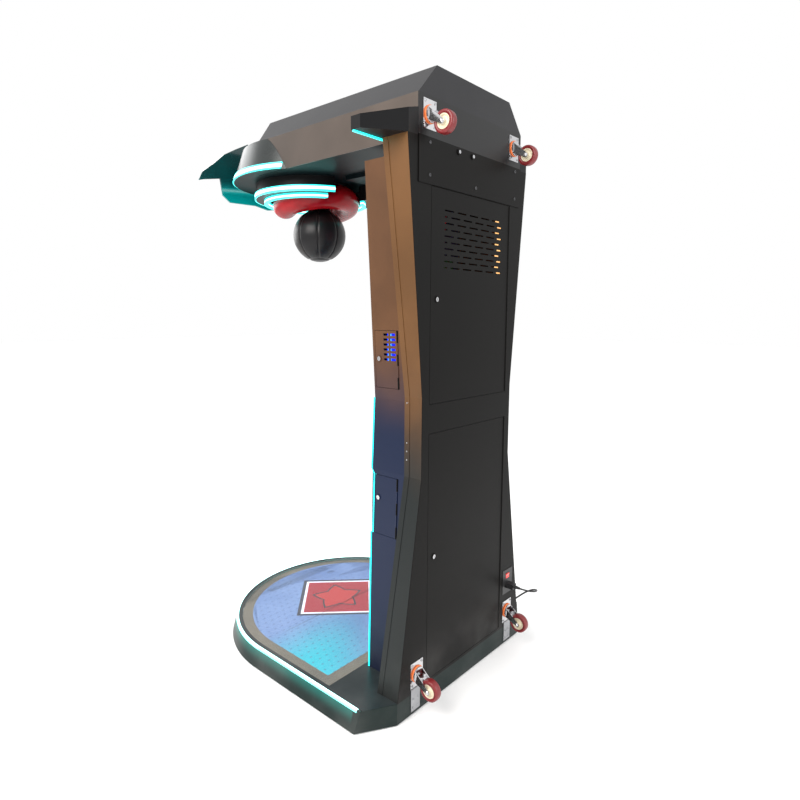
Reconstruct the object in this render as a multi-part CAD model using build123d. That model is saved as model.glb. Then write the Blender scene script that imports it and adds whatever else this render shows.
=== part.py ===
from build123d import *
import math
import os

os.makedirs("parts", exist_ok=True)

# Boxing punch machine, millimetres. +Z up, the player stands on the -Y side,
# the doors and casters are on the +Y side. Z = 0 is the floor.

# ---------------------------------------------------------------- overall sizes
HEIGHT = 2200.0            # floor to the top of the roof cap
BASE_HALF = 531.0          # half width of the platform
BASE_REAR_HALF = 400.0     # half width of the platform's rear edge
BASE_CHAMFER_Y = 80.0      # how far forward the rear corners are cut
BASE_ARC_Y = 640.0         # rear plane to the centre of the front arc
BASE_TOP = 80.0            # deck height
BASE_LEAN = 20.0           # how far the skirt leans in at the top
SKIRT_BOTTOM = 4.0
SHEET = 3.0                # outer sheet steel
THIN = 2.5                 # inner sheet steel
GAP = 1.5                  # visible gap round doors
FIT = 0.3                  # gap between pieces laid side by side

FOOT_HALF = 397.0          # tower half width at the deck
WAIST_HALF = 280.0         # tower half width at the waist
HEAD_HALF = 363.0          # tower half width under the hood
WAIST_LOW = 840.0
WAIST_HIGH = 1120.0
HOOD_Z = 1965.0            # underside of the hood
HOOD_SIDE_TOP = 2098.0     # where the roof cap starts
HOOD_HALF = 313.5
CAP_TOP_HALF = 222.5

NOSE_Y = 850.0             # rear plane to the centre of the round nose
NOSE_TOP_R = 320.0
NOSE_LOW_R = 362.0
SIGN_T = 8.0
SIGN_GAP = 5.0
CASTER_REACH = 102.5       # rear plane to the back of a caster wheel
FRONT_REACH = NOSE_Y + NOSE_LOW_R + SIGN_GAP + SIGN_T

# The origin is the middle of the footprint on the floor.
REAR = (FRONT_REACH - CASTER_REACH) / 2


# ---------------------------------------------------------------- small helpers
def back(distance):
    """Y of a plane that is this far in front of the rear plane."""
    return REAR - distance


def slab(x0, x1, y0, y1, z0, z1):
    """Box between two corners; y is the distance in front of the rear plane."""
    size = (abs(x1 - x0), abs(y1 - y0), abs(z1 - z0))
    centre = ((x0 + x1) / 2, back((y0 + y1) / 2), (z0 + z1) / 2)
    return Pos(*centre) * Box(*size)


def prism_y(points, y0, y1):
    """Outline of (x, z) points, extruded between two distances from the rear."""
    wire = Wire.make_polygon([(x, back(y0), z) for x, z in points], close=True)
    return Solid.extrude(Face(wire), Vector(0, back(y1) - back(y0), 0))


def prism_x(points, x0, x1):
    """Outline of (distance from the rear, z) points, extruded along X."""
    wire = Wire.make_polygon([(x0, back(y), z) for y, z in points], close=True)
    return Solid.extrude(Face(wire), Vector(x1 - x0, 0, 0))


def prism_z(points, z0, z1):
    """Outline of (x, distance from the rear) points, extruded upwards."""
    wire = Wire.make_polygon([(x, back(y), z0) for x, y in points], close=True)
    return Solid.extrude(Face(wire), Vector(0, 0, z1 - z0))


def rod_x(x0, x1, y, z, radius):
    return Pos((x0 + x1) / 2, back(y), z) * Rot(0, 90, 0) * Cylinder(radius, abs(x1 - x0))


def rod_y(x, y0, y1, z, radius):
    return Pos(x, back((y0 + y1) / 2), z) * Rot(90, 0, 0) * Cylinder(radius, abs(y1 - y0))


def rod_z(x, y, z0, z1, radius):
    return Pos(x, back(y), (z0 + z1) / 2) * Cylinder(radius, abs(z1 - z0))


def ring_z(y, z0, z1, outer, inner):
    return rod_z(0, y, z0, z1, outer) - rod_z(0, y, z0 - 1, z1 + 1, inner)


def mirrored(shape):
    """The same piece on the other side of the machine."""
    return mirror(shape, about=Plane.YZ)


def both(shape):
    return [shape, mirrored(shape)]


def d_face(half, rear, z):
    """Platform shape: straight sides, a round front and a straight rear edge."""
    front_mid = (0, back(BASE_ARC_Y + half))
    side_right = (half, back(BASE_ARC_Y))
    side_left = (-half, back(BASE_ARC_Y))
    outline = Polyline(side_left, (-half, back(rear)), (half, back(rear)), side_right)
    outline += ThreePointArc(side_right, front_mid, side_left)
    return Pos(0, 0, z) * make_face(outline)


def d_plate(half, rear, z0, z1):
    return extrude(d_face(half, rear, z0), amount=z1 - z0)


def save(name, *pieces):
    """Write one node. Every piece stays a solid of its own."""
    solids = []
    for piece in pieces:
        parts = piece if isinstance(piece, (list, tuple)) else [piece]
        for part in parts:
            solids.extend(part.solids())
    export_step(Compound(children=solids), f"parts/{name}.step")
    NODES[name] = len(solids)


NODES = {}

# ---------------------------------------------------------------- platform
LED_W = 9.5                # base LED profile, width
LED_H = 10.0               # and height
LED_REAR = 84.0            # the strip ends just in front of the cut corners
GLASS_EDGE = 25.0          # platform's top edge to the glass
GLASS_REAR = 250.0         # rear plane to the straight edge of the glass
GLASS_T = 6.0
PRINT_T = 3.8
TRIM_W = 44.0              # width of the metal border under the glass
TRIM_REAR = 55.0
TUBE = 40.0                # square tube of the underframe
TUBE_Z = 20.0

base_top_half = BASE_HALF - BASE_LEAN
led_outer = BASE_HALF - BASE_LEAN + 1.5
led_inner = led_outer - LED_W
glass_half = base_top_half - GLASS_EDGE
print_half = glass_half - TRIM_W
print_top = BASE_TOP - GLASS_T
print_low = print_top - PRINT_T


def base_outline(inset, z0, z1):
    """Plan of the platform with its cut rear corners."""
    run_x = BASE_HALF - BASE_REAR_HALF
    slant = math.hypot(run_x, BASE_CHAMFER_Y)
    rear_half = BASE_REAR_HALF - inset * (slant - BASE_CHAMFER_Y) / run_x * 0.5
    half = BASE_HALF - inset
    corner_y = BASE_CHAMFER_Y + inset * (slant - run_x) / BASE_CHAMFER_Y
    plan = [(-rear_half, inset), (rear_half, inset), (half, corner_y)]
    plan += [(half, BASE_ARC_Y + BASE_HALF), (-half, BASE_ARC_Y + BASE_HALF), (-half, corner_y)]
    return prism_z(plan, z0, z1)


def leaning(inset, z0, z1):
    """Platform block whose sides and front lean in towards the top."""
    low = BASE_HALF - inset - BASE_LEAN * z0 / BASE_TOP
    high = BASE_HALF - inset - BASE_LEAN * z1 / BASE_TOP
    return loft([d_face(low, -20, z0), d_face(high, -20, z1)], ruled=True)


skirt = leaning(0, SKIRT_BOTTOM, BASE_TOP) & base_outline(0, SKIRT_BOTTOM, BASE_TOP)
skirt -= leaning(SHEET + 1, 0, BASE_TOP + 5) & base_outline(SHEET, 0, BASE_TOP + 5)
led_seat = slab(-BASE_HALF, BASE_HALF, LED_REAR - FIT, 2 * BASE_HALF + BASE_ARC_Y,
                BASE_TOP - LED_H - FIT, BASE_TOP + 5)
skirt -= led_seat
save("base_skirt", skirt)

led = d_plate(led_outer, LED_REAR, BASE_TOP - LED_H, BASE_TOP)
led -= d_plate(led_inner, LED_REAR - 5, BASE_TOP - LED_H - 1, BASE_TOP + 1)
save("base_led_strip", led)

deck = d_plate(led_inner - FIT, SHEET + FIT, BASE_TOP - SHEET, BASE_TOP)
deck = deck & base_outline(SHEET + FIT, 0, BASE_TOP)
deck -= d_plate(glass_half + FIT, GLASS_REAR - FIT, 0, BASE_TOP + 1)
save("base_deck", deck)

save("floor_glass", d_plate(glass_half, GLASS_REAR, print_top, BASE_TOP))
trim = d_plate(glass_half, GLASS_REAR, print_low, print_top)
trim -= d_plate(print_half + FIT, GLASS_REAR + TRIM_REAR - FIT, print_low - 1, print_top + 1)
save("floor_trim", trim)
save("floor_print", d_plate(print_half, GLASS_REAR + TRIM_REAR, print_low, print_top))

FRAME_SIDE = 360.0
FRAME_BACK = 20.0
FRAME_FRONT = 1040.0
frame_top = print_low
frame = slab(-FRAME_SIDE, FRAME_SIDE, FRAME_BACK, FRAME_BACK + TUBE, TUBE_Z, frame_top)
frame += slab(-FRAME_SIDE, FRAME_SIDE, GLASS_REAR, GLASS_REAR + TUBE, TUBE_Z, frame_top)
frame += slab(-FRAME_SIDE, FRAME_SIDE, BASE_ARC_Y, BASE_ARC_Y + TUBE, TUBE_Z, frame_top)
frame += slab(-FRAME_SIDE / 2, FRAME_SIDE / 2, FRAME_FRONT - TUBE, FRAME_FRONT, TUBE_Z, frame_top)
for side in (-1, 1):
    inner = side * (FRAME_SIDE - TUBE)
    frame += slab(side * FRAME_SIDE, inner, FRAME_BACK, BASE_ARC_Y + TUBE, TUBE_Z, frame_top)
    frame += slab(side * FRAME_SIDE / 2, side * (FRAME_SIDE / 2 - TUBE), BASE_ARC_Y,
                  FRAME_FRONT, TUBE_Z, frame_top)
save("base_frame", frame)

FOOT_PAD_R = 26.0
FOOT_PAD_H = 7.0
FOOT_STUD_R = 6.0
feet = []
for foot_y in (FRAME_BACK + TUBE / 2, BASE_ARC_Y + TUBE / 2):
    for side in (-1, 1):
        x = side * (FRAME_SIDE - TUBE / 2)
        foot = rod_z(x, foot_y, 0, FOOT_PAD_H, FOOT_PAD_R)
        feet.append(foot + rod_z(x, foot_y, FOOT_PAD_H, TUBE_Z, FOOT_STUD_R))
for side in (-1, 1):
    x = side * (FRAME_SIDE / 2 - TUBE / 2)
    foot = rod_z(x, FRAME_FRONT - TUBE / 2, 0, FOOT_PAD_H, FOOT_PAD_R)
    feet.append(foot + rod_z(x, FRAME_FRONT - TUBE / 2, FOOT_PAD_H, TUBE_Z, FOOT_STUD_R))
save("levelling_feet", feet)

# ---------------------------------------------------------------- tower shell
PILLAR_FOOT = 95.0         # depth of the side pillars at the deck
PILLAR_WAIST = 78.0
PILLAR_HEAD = 108.0
TRIM_STRIP = 22.0          # screwed strip along the pillar's front edge
TRIM_PROUD = 1.5
DOOR_HALF = 243.0
UPPER_DOOR_LOW = 1097.0
UPPER_DOOR_TOP = 1820.0
LOWER_DOOR_LOW = 92.0
LOWER_DOOR_TOP = 993.0
PLATE_LOW = 1823.0         # service plate under the hood, at the back
PLATE_T = 3.0
INLET_X = -303.0
INLET_Z = 278.0
INLET_W = 64.0
INLET_H = 94.0

FRONT_LOW = 225.0          # rear plane to the display housing's front, at the deck
FRONT_HIGH = 252.0         # and at its top
HOUSING_TOP = 1928.0
TOP_FLANGE_Y = 100.0       # upright flange from the housing's top to the hood
HOUSING_REAR = 45.0        # rear plane to the housing's open back
HOUSING = [(304, BASE_TOP), (284, 600), (276, WAIST_LOW), (259, 1100), (300, HOUSING_TOP)]


def tower_outline(inset):
    right = [(FOOT_HALF - inset, BASE_TOP), (WAIST_HALF - inset, WAIST_LOW)]
    right += [(WAIST_HALF - inset, WAIST_HIGH), (HEAD_HALF - inset, HOOD_Z)]
    return right + [(-x, z) for x, z in reversed(right)]


def housing_outline(inset, top):
    right = [(x - inset, z) for x, z in HOUSING[:-1]] + [(HOUSING[-1][0] - inset, top)]
    return right + [(-x, z) for x, z in reversed(right)]


def housing_half(z):
    """Half width of the display housing at this height."""
    for (x0, z0), (x1, z1) in zip(HOUSING, HOUSING[1:]):
        if z <= z1:
            return x0 + (x1 - x0) * (z - z0) / (z1 - z0)
    return HOUSING[-1][0]


def front_at(z):
    """Distance from the rear plane to the display housing's front."""
    return FRONT_LOW + (FRONT_HIGH - FRONT_LOW) * (z - BASE_TOP) / (HOUSING_TOP - BASE_TOP)


def front_sheet(x0, x1, z0, z1, out, deep):
    """Piece parallel to the housing's front, between two depths from it."""
    points = [(front_at(z0) + out, z0), (front_at(z1) + out, z1)]
    points += [(front_at(z1) - deep, z1), (front_at(z0) - deep, z0)]
    return prism_x(points, x0, x1)


panel = prism_y(tower_outline(0), 0, SHEET)
panel -= slab(-DOOR_HALF - GAP, DOOR_HALF + GAP, -1, SHEET + 1,
              UPPER_DOOR_LOW - GAP, UPPER_DOOR_TOP + GAP)
panel -= slab(-DOOR_HALF - GAP, DOOR_HALF + GAP, -1, SHEET + 1,
              LOWER_DOOR_LOW - GAP, LOWER_DOOR_TOP + GAP)
panel -= slab(INLET_X - INLET_W / 2, INLET_X + INLET_W / 2, -1, SHEET + 1,
              INLET_Z - INLET_H / 2, INLET_Z + INLET_H / 2)


def pillar_side(extra):
    """Side view of a pillar: deeper at the head and foot than at the waist."""
    points = [(SHEET, BASE_TOP), (PILLAR_FOOT - extra, BASE_TOP)]
    points += [(PILLAR_WAIST - extra, WAIST_LOW), (PILLAR_WAIST - extra, WAIST_HIGH)]
    points += [(PILLAR_HEAD - extra, HOOD_Z), (SHEET, HOOD_Z)]
    return prism_x(points, -FOOT_HALF - 20, FOOT_HALF + 20)


pillar = prism_y(tower_outline(0), SHEET, 150) & pillar_side(0)
pillar -= prism_y(tower_outline(SHEET), SHEET, 150) & pillar_side(SHEET)
pillar -= prism_y(housing_outline(-FIT, HOUSING_TOP + FIT), 0, 300)
pillar -= slab(-HOUSING[-1][0] - FIT, HOUSING[-1][0] + FIT, SHEET, 300, HOUSING_TOP, HOOD_Z + 1)
strip = prism_y(tower_outline(-TRIM_PROUD), SHEET, 150) & pillar_side(0)
strip -= prism_y(tower_outline(0), 0, 200)
strip -= pillar_side(TRIM_STRIP)
save("pillars", pillar, strip)

# ---------------------------------------------------------------- display housing
SCREEN_HALF = 206.0
SCREEN_LOW = 1150.0
SCREEN_TOP = 1880.0
SCREEN_T = 34.0
BUTTON_Z = 1050.0
BUTTON_R = 22.0
BUTTON_COLLAR = 30.0
COIN_Z = 905.0
COIN_W = 62.0
COIN_H = 112.0
SPEAKER_X = 135.0
SPEAKER_Z = 430.0
SPEAKER_R = 62.0
SERVICE_LOW = 1139.0       # small door on the +X side
SERVICE_TOP = 1346.0
SERVICE_BACK = 122.0
SERVICE_FRONT = 232.0
CASH_LOW = 601.0           # cash door below it
CASH_TOP = 821.0
CASH_BACK = 112.0
CASH_FRONT = 222.0


def housing_block(inset, top, rear):
    block = prism_y(housing_outline(inset, top), rear, 300)
    points = [(rear, BASE_TOP), (front_at(BASE_TOP) - inset, BASE_TOP)]
    points += [(front_at(top) - inset, top), (rear, top)]
    return block & prism_x(points, -320, 320)


housing_wall = housing_block(0, HOUSING_TOP, HOUSING_REAR)
housing_wall -= housing_block(THIN, HOUSING_TOP - THIN, HOUSING_REAR - 1)
housing = housing_wall - front_sheet(-SCREEN_HALF, SCREEN_HALF, SCREEN_LOW, SCREEN_TOP, 5, 10)
housing -= slab(200, 320, SERVICE_BACK, SERVICE_FRONT, SERVICE_LOW, SERVICE_TOP)
housing -= slab(200, 320, CASH_BACK, CASH_FRONT, CASH_LOW, CASH_TOP)
housing -= slab(-COIN_W / 2, COIN_W / 2, 200, 300, COIN_Z - COIN_H / 2, COIN_Z + COIN_H / 2)
button_front = front_at(BUTTON_Z)
housing += rod_y(0, button_front - 18, button_front + 5, BUTTON_Z, BUTTON_COLLAR)
housing -= rod_y(0, button_front - 30, button_front + 30, BUTTON_Z, BUTTON_R + FIT)
for side in (-1, 1):
    housing -= rod_y(side * SPEAKER_X, 200, 300, SPEAKER_Z, SPEAKER_R)
top_half = HOUSING[-1][0] - THIN
housing += slab(-top_half, top_half, TOP_FLANGE_Y, TOP_FLANGE_Y + THIN, HOUSING_TOP - 1, HOOD_Z)

screen = front_sheet(-SCREEN_HALF + FIT, SCREEN_HALF - FIT, SCREEN_LOW + FIT,
                     SCREEN_TOP - FIT, 1.0, SCREEN_T)
save("display_screen", screen)

BUTTON_TRAVEL = 5.0
button = rod_y(0, button_front - 14, button_front + 9, BUTTON_Z, BUTTON_R)
save("start_button", button)

coin_front = front_at(COIN_Z)
coin = slab(-COIN_W / 2 - 8, COIN_W / 2 + 8, coin_front + 1, coin_front + 4,
            COIN_Z - COIN_H / 2 - 8, COIN_Z + COIN_H / 2 + 8)
coin += slab(-COIN_W / 2 + 1, COIN_W / 2 - 1, coin_front - 90, coin_front + 1,
             COIN_Z - COIN_H / 2 + 1, COIN_Z + COIN_H / 2 - 1)
COIN_SLOT_W = 5.0
COIN_SLOT_H = 34.0
coin_slot_z = COIN_Z + 25
coin -= slab(-COIN_SLOT_W / 2, COIN_SLOT_W / 2, coin_front - 60, coin_front + 5,
             coin_slot_z - COIN_SLOT_H / 2, coin_slot_z + COIN_SLOT_H / 2)
save("coin_mechanism", coin)

speaker_front = front_at(SPEAKER_Z)
speakers = []
for side in (-1, 1):
    x = side * SPEAKER_X
    cone = rod_y(x, speaker_front - 4, speaker_front + 2, SPEAKER_Z, SPEAKER_R - FIT)
    cone += rod_y(x, speaker_front - 40, speaker_front - 4, SPEAKER_Z, SPEAKER_R - 20)
    speakers.append(cone)
save("speakers", speakers)

# ---------------------------------------------------------------- hinged doors
PIN_R = 1.6
PIN_FIT = 0.05
KNUCKLE_R = 3.4
KNUCKLE_GAP = 0.6
LEAF = 1.2
LEAF_W = 14.0
LOCK_R = 8.0
LOCK_RING = 11.5
LOCK_FIT = 0.06
CAM_T = 2.0
DOOR_FOLD = 16.0           # folded edge of a sheet door


def hinge_spans(low, high, count):
    """Heights of the knuckles, bottom to top: even ones are the frame's."""
    step = (high - low) / count
    return [(low + i * step, low + (i + 1) * step) for i in range(count)]


def rear_hinge(x, low, high, count):
    """Piano hinge of a rear door: its fixed leaf with the pin, and cutters."""
    fixed = rod_z(x, 0, low, high, PIN_R)
    fixed += slab(x - GAP, x - FIT, 0, SHEET + LEAF, low, high)
    fixed += slab(x - LEAF_W, x - FIT, SHEET, SHEET + LEAF, low, high)
    door_part = None
    notch = None
    for i, (z0, z1) in enumerate(hinge_spans(low, high, count)):
        barrel = rod_z(x, 0, z0 + KNUCKLE_GAP / 2, z1 - KNUCKLE_GAP / 2, KNUCKLE_R)
        clear = rod_z(x, 0, z0 - KNUCKLE_GAP / 2, z1 + KNUCKLE_GAP / 2, KNUCKLE_R + FIT)
        if i % 2 == 0:
            fixed += barrel
            notch = clear if notch is None else notch + clear
        else:
            bored = barrel - rod_z(x, 0, z0, z1, PIN_R + PIN_FIT)
            door_part = bored if door_part is None else door_part + bored
            keep = rod_z(x, 0, z0, z1, PIN_R)
            fixed -= clear - rod_z(x, 0, z0 - 1, z1 + 1, PIN_R)
            fixed += keep
    return fixed, door_part, notch


def rear_door(low, high, lock_z, slots):
    """Flush sheet door with folded edges, hinged on the -X side."""
    hinge_x = -DOOR_HALF
    fixed, knuckles, notch = rear_hinge(hinge_x, low + 2, high - 2, 9)
    door = slab(hinge_x + FIT, DOOR_HALF, 0, THIN, low, high)
    folds = slab(hinge_x + 6, DOOR_HALF, THIN, DOOR_FOLD, low, high)
    folds -= slab(hinge_x + 6 + THIN, DOOR_HALF - THIN, 0, DOOR_FOLD + 1, low + THIN, high - THIN)
    door += folds
    door -= notch
    door += knuckles
    door -= rod_z(hinge_x, 0, low - 1, high + 1, PIN_R + PIN_FIT)
    door += rod_y(LOCK_X, -2.5, DOOR_FOLD, lock_z, LOCK_RING)
    door -= rod_y(LOCK_X, -10, DOOR_FOLD + 5, lock_z, LOCK_R + LOCK_FIT)
    for x0, x1, z in slots:
        door -= slab(x0, x1, -1, THIN + 1, z - SLOT_H / 2, z + SLOT_H / 2)
    lock = rod_y(LOCK_X, -1.5, DOOR_FOLD + 3, lock_z, LOCK_R)
    lock += slab(LOCK_X - 6, LOCK_X + 6, DOOR_FOLD + 1, DOOR_FOLD + 1 + CAM_T,
                 lock_z - 6, lock_z + CAM_L)
    lock -= slab(LOCK_X - 1, LOCK_X + 1, -5, 3, lock_z - 4, lock_z + 4)
    return door, lock, fixed


LOCK_X = 207.0
CAM_L = 48.0
UPPER_LOCK_Z = 1453.0
LOWER_LOCK_Z = 546.0

SLOT_H = 5.0
SLOT_L = 52.0
SLOT_PITCH = 73.0
SLOT_ROWS = 10
SLOT_ROW_STEP = 21.2
SLOT_TOP_Z = 1752.0
SLOT_LEFT = 170.0
SLOT_RIGHT = -188.0

vent_slots = []
for row in range(SLOT_ROWS):
    z = SLOT_TOP_Z - row * SLOT_ROW_STEP
    start = SLOT_LEFT if row % 2 == 0 else SLOT_LEFT + SLOT_PITCH / 2
    while start > SLOT_RIGHT + 12:
        x1 = min(start, SLOT_LEFT)
        x0 = max(start - SLOT_L, SLOT_RIGHT)
        if x1 - x0 > 8:
            vent_slots.append((x0, x1, z))
        start -= SLOT_PITCH

for low, high in ((UPPER_DOOR_LOW, UPPER_DOOR_TOP), (LOWER_DOOR_LOW, LOWER_DOOR_TOP)):
    panel -= rod_z(-DOOR_HALF, 0, low, high, KNUCKLE_R + FIT)
upper_door, upper_lock, upper_hinge = rear_door(UPPER_DOOR_LOW, UPPER_DOOR_TOP, UPPER_LOCK_Z, vent_slots)
lower_door, lower_lock, lower_hinge = rear_door(LOWER_DOOR_LOW, LOWER_DOOR_TOP, LOWER_LOCK_Z, [])
save("upper_door", upper_door)
save("lower_door", lower_door)
save("upper_door_lock", upper_lock)
save("lower_door_lock", lower_lock)


def side_frame(low, high, rear):
    """Plane on the housing's side: X along the slope upwards, Z outwards."""
    start = Vector(housing_half(low), back(rear), low)
    end = Vector(housing_half(high), back(rear), high)
    return Plane(origin=start, x_dir=end - start, z_dir=(end - start).cross(Vector(0, 1, 0)))


def side_door(low, high, rear, front, lock_y, lock_z, slots):
    """Small sheet door on the housing's side, hinged along its rear edge."""
    frame_plane = side_frame(low, high, rear + GAP)
    length = (Vector(housing_half(high), 0, high) - Vector(housing_half(low), 0, low)).length
    door = housing_wall & slab(200, 320, rear + GAP + FIT, front - GAP, low + GAP, high - GAP)
    count = 5
    inner = [(GAP + i * (length - 2 * GAP) / count) for i in range(count + 1)]
    fixed = None
    for i in range(count):
        z0 = inner[i] + KNUCKLE_GAP / 2
        z1 = inner[i + 1] - KNUCKLE_GAP / 2
        barrel = frame_plane * Pos((z0 + z1) / 2, 0, 0) * Rot(0, 90, 0) * Cylinder(KNUCKLE_R, z1 - z0)
        clear = frame_plane * Pos((z0 + z1) / 2, 0, 0) * Rot(0, 90, 0) * Cylinder(
            KNUCKLE_R + FIT, z1 - z0 + 2 * KNUCKLE_GAP)
        if i % 2 == 0:
            fixed = barrel if fixed is None else fixed + barrel
            door -= clear
        else:
            door += barrel
    leaf = Pos(length / 2, LEAF_W / 2, THIN + LEAF / 2) * Box(length - 2 * GAP, LEAF_W, LEAF)
    fixed += frame_plane * leaf
    for i in range(1, count, 2):
        middle = (inner[i] + inner[i + 1]) / 2
        wide = inner[i + 1] - inner[i] + KNUCKLE_GAP
        fixed -= frame_plane * Pos(middle, 0, 0) * Rot(0, 90, 0) * Cylinder(KNUCKLE_R + FIT, wide)
    pin_line = frame_plane * Pos(length / 2, 0, 0) * Rot(0, 90, 0)
    notch = pin_line * Cylinder(KNUCKLE_R + FIT, length + KNUCKLE_GAP)
    door -= pin_line * Cylinder(PIN_R + PIN_FIT, length + 4)
    fixed += pin_line * Cylinder(PIN_R, length - 2 * GAP - KNUCKLE_GAP)
    lock_x = housing_half(lock_z)
    door += rod_x(lock_x - 16, lock_x + 2.5, lock_y, lock_z, LOCK_RING)
    door -= rod_x(lock_x - 30, lock_x + 10, lock_y, lock_z, LOCK_R + LOCK_FIT)
    for y0, y1, z in slots:
        door -= slab(200, 320, y0, y1, z - SIDE_SLOT_H / 2, z + SIDE_SLOT_H / 2)
    lock = rod_x(lock_x - 19, lock_x + 1.5, lock_y, lock_z, LOCK_R)
    lock += slab(lock_x - 19, lock_x - 17, lock_y - 6, lock_y + 6, lock_z - 6, lock_z + SIDE_CAM)
    lock -= slab(lock_x - 2, lock_x + 5, lock_y - 1, lock_y + 1, lock_z - 4, lock_z + 4)
    return door, lock, fixed, notch


SIDE_CAM = 26.0
SIDE_SLOT_H = 8.0
SERVICE_LOCK_Y = 214.0
SERVICE_LOCK_Z = 1244.0
CASH_LOCK_Y = 205.0
CASH_LOCK_Z = 736.0

side_slots = []
for row in range(6):
    z = 1331.0 - row * 17.6
    side_slots.append((134.0, 158.0, z))
    side_slots.append((166.0, 190.0, z))

service_door, service_lock, service_hinge, service_notch = side_door(
    SERVICE_LOW, SERVICE_TOP, SERVICE_BACK, SERVICE_FRONT, SERVICE_LOCK_Y, SERVICE_LOCK_Z, side_slots)
cash_door, cash_lock, cash_hinge, cash_notch = side_door(
    CASH_LOW, CASH_TOP, CASH_BACK, CASH_FRONT, CASH_LOCK_Y, CASH_LOCK_Z, [])
save("display_housing", housing - service_notch - cash_notch)
save("service_door", service_door)
save("cash_door", cash_door)
save("service_door_lock", service_lock)
save("cash_door_lock", cash_lock)
save("door_hinges", upper_hinge, lower_hinge, service_hinge, cash_hinge)

# ---------------------------------------------------------------- inside the tower
BOX_W = 150.0
BOX_H = 120.0
BOX_T = 1.5
shelf_z = CASH_LOW + 2
box = slab(70, 70 + BOX_W, CASH_BACK + 8, CASH_FRONT - 10, shelf_z, shelf_z + BOX_H)
box -= slab(70 + BOX_T, 70 + BOX_W - BOX_T, CASH_BACK + 8 + BOX_T, CASH_FRONT - 10 - BOX_T,
            shelf_z + BOX_T, shelf_z + BOX_H + 1)
SHELF_HALF = 180.0
box_shelf = slab(-SHELF_HALF, 240, 70, CASH_FRONT - 2, CASH_LOW - 3, CASH_LOW + 2)
save("cash_box", box, box_shelf)

psu = slab(-120, 95, 60, 110, BASE_TOP + 4, BASE_TOP + 118)
psu_foot = slab(-130, 105, 50, 120, BASE_TOP, BASE_TOP + 4)
save("power_supply", psu + psu_foot)

board = slab(-150, 110, 200 - 1.6, 200, 1420, 1600)
for x in (-138, 98):
    for z in (1432, 1588):
        board += rod_y(x, 200, 206.8, z, 4)
board += slab(-60, 0, 188, 198.4, 1480, 1540)
board_tray = slab(-160, 120, 206.8, 208.8, 1400, 1620)
save("control_board", board, board_tray)

# ---------------------------------------------------------------- hood
CAP_CORNER_LOW = 845.0
CAP_FRONT_LOW = 1118.0
CAP_NARROW_LOW = 150.0
CAP_CORNER_TOP = 888.0
CAP_FRONT_TOP = 1015.0
CAP_NARROW_TOP = 118.0
NOSE_WALL = 3.0
BAND_Z0 = 1967.0
BAND_Z1 = 1993.0
BAND_T = 5.0


def nose_block(extra, z0, z1):
    """Flared round nose, wider at the bottom."""
    slope = (NOSE_LOW_R - NOSE_TOP_R) / (HOOD_SIDE_TOP - HOOD_Z)
    low = NOSE_LOW_R + extra - slope * (z0 - HOOD_Z)
    high = NOSE_LOW_R + extra - slope * (z1 - HOOD_Z)
    return Pos(0, back(NOSE_Y), (z0 + z1) / 2) * Cone(low, high, z1 - z0)


inside_box = slab(-HOOD_HALF, HOOD_HALF, -5, NOSE_Y, HOOD_Z - 100, HEIGHT)
body = slab(-HOOD_HALF, HOOD_HALF, 0, NOSE_Y, HOOD_Z, HOOD_SIDE_TOP)
body -= slab(-HOOD_HALF + SHEET, HOOD_HALF - SHEET, SHEET, NOSE_Y + 1, HOOD_Z - 1, HOOD_SIDE_TOP + 1)
body -= nose_block(FIT, HOOD_Z - 20, HOOD_SIDE_TOP + 20)
save("hood_body", body)

nose = nose_block(0, HOOD_Z, HOOD_SIDE_TOP)
nose -= nose_block(-NOSE_WALL, HOOD_Z - 5, HOOD_SIDE_TOP + 5)
nose -= inside_box
save("hood_nose", nose)

band = nose_block(BAND_T, BAND_Z0, BAND_Z1) - nose_block(FIT, BAND_Z0 - 2, BAND_Z1 + 2)
band -= slab(-500, 500, -5, NOSE_Y - math.sqrt(NOSE_LOW_R ** 2 - HOOD_HALF ** 2) + 20, 1900, HEIGHT)


def cap_block(inset, z0, z1):
    """Roof cap: rear face upright, sides and front sloping."""
    share = (z1 - z0) / (HEIGHT - HOOD_SIDE_TOP)
    low = [(HOOD_HALF - inset, inset), (HOOD_HALF - inset, CAP_CORNER_LOW)]
    low += [(CAP_NARROW_LOW - inset / 2, CAP_FRONT_LOW - inset)]
    high = [(CAP_TOP_HALF - inset, inset), (CAP_TOP_HALF - inset, CAP_CORNER_TOP)]
    high += [(CAP_NARROW_TOP - inset / 2, CAP_FRONT_TOP - inset)]
    outlines = []
    for right, z in ((low, z0), (high, z1)):
        plan = right + [(-x, y) for x, y in reversed(right)]
        wire = Wire.make_polygon([(x, back(y), z) for x, y in plan], close=True)
        outlines.append(Face(wire))
    return loft(outlines, ruled=True)


cap = cap_block(0, HOOD_SIDE_TOP, HEIGHT)
cap -= cap_block(THIN, HOOD_SIDE_TOP - 0.01, HEIGHT - THIN)
save("hood_cap", cap)

DRUM_Y = 862.0             # rear plane to the centre of the light rings
DRUM_R = 262.0
DRUM_LOW = 1902.0
STEP_R = 226.0
STEP_LOW = 1884.0
WELL_R = 205.0             # round well that the bumper cushion sits in
NOTCH_HALF = 104.0         # open at the back, so that the ball can swing out
RING_T = 5.0
RING_H = 24.0

BALL_Y = 836.0
BALL_Z = 1753.0
BALL_R = 117.0
PIVOT_Z = 2060.0
ARM_SLOT_HALF = 45.0
ARM_SLOT_FRONT = 885.0
ARM_SLOT_BACK = 690.0
GUIDE_HALF = 70.0          # stiffener behind the arm slot
GUIDE_T = 15.0

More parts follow.
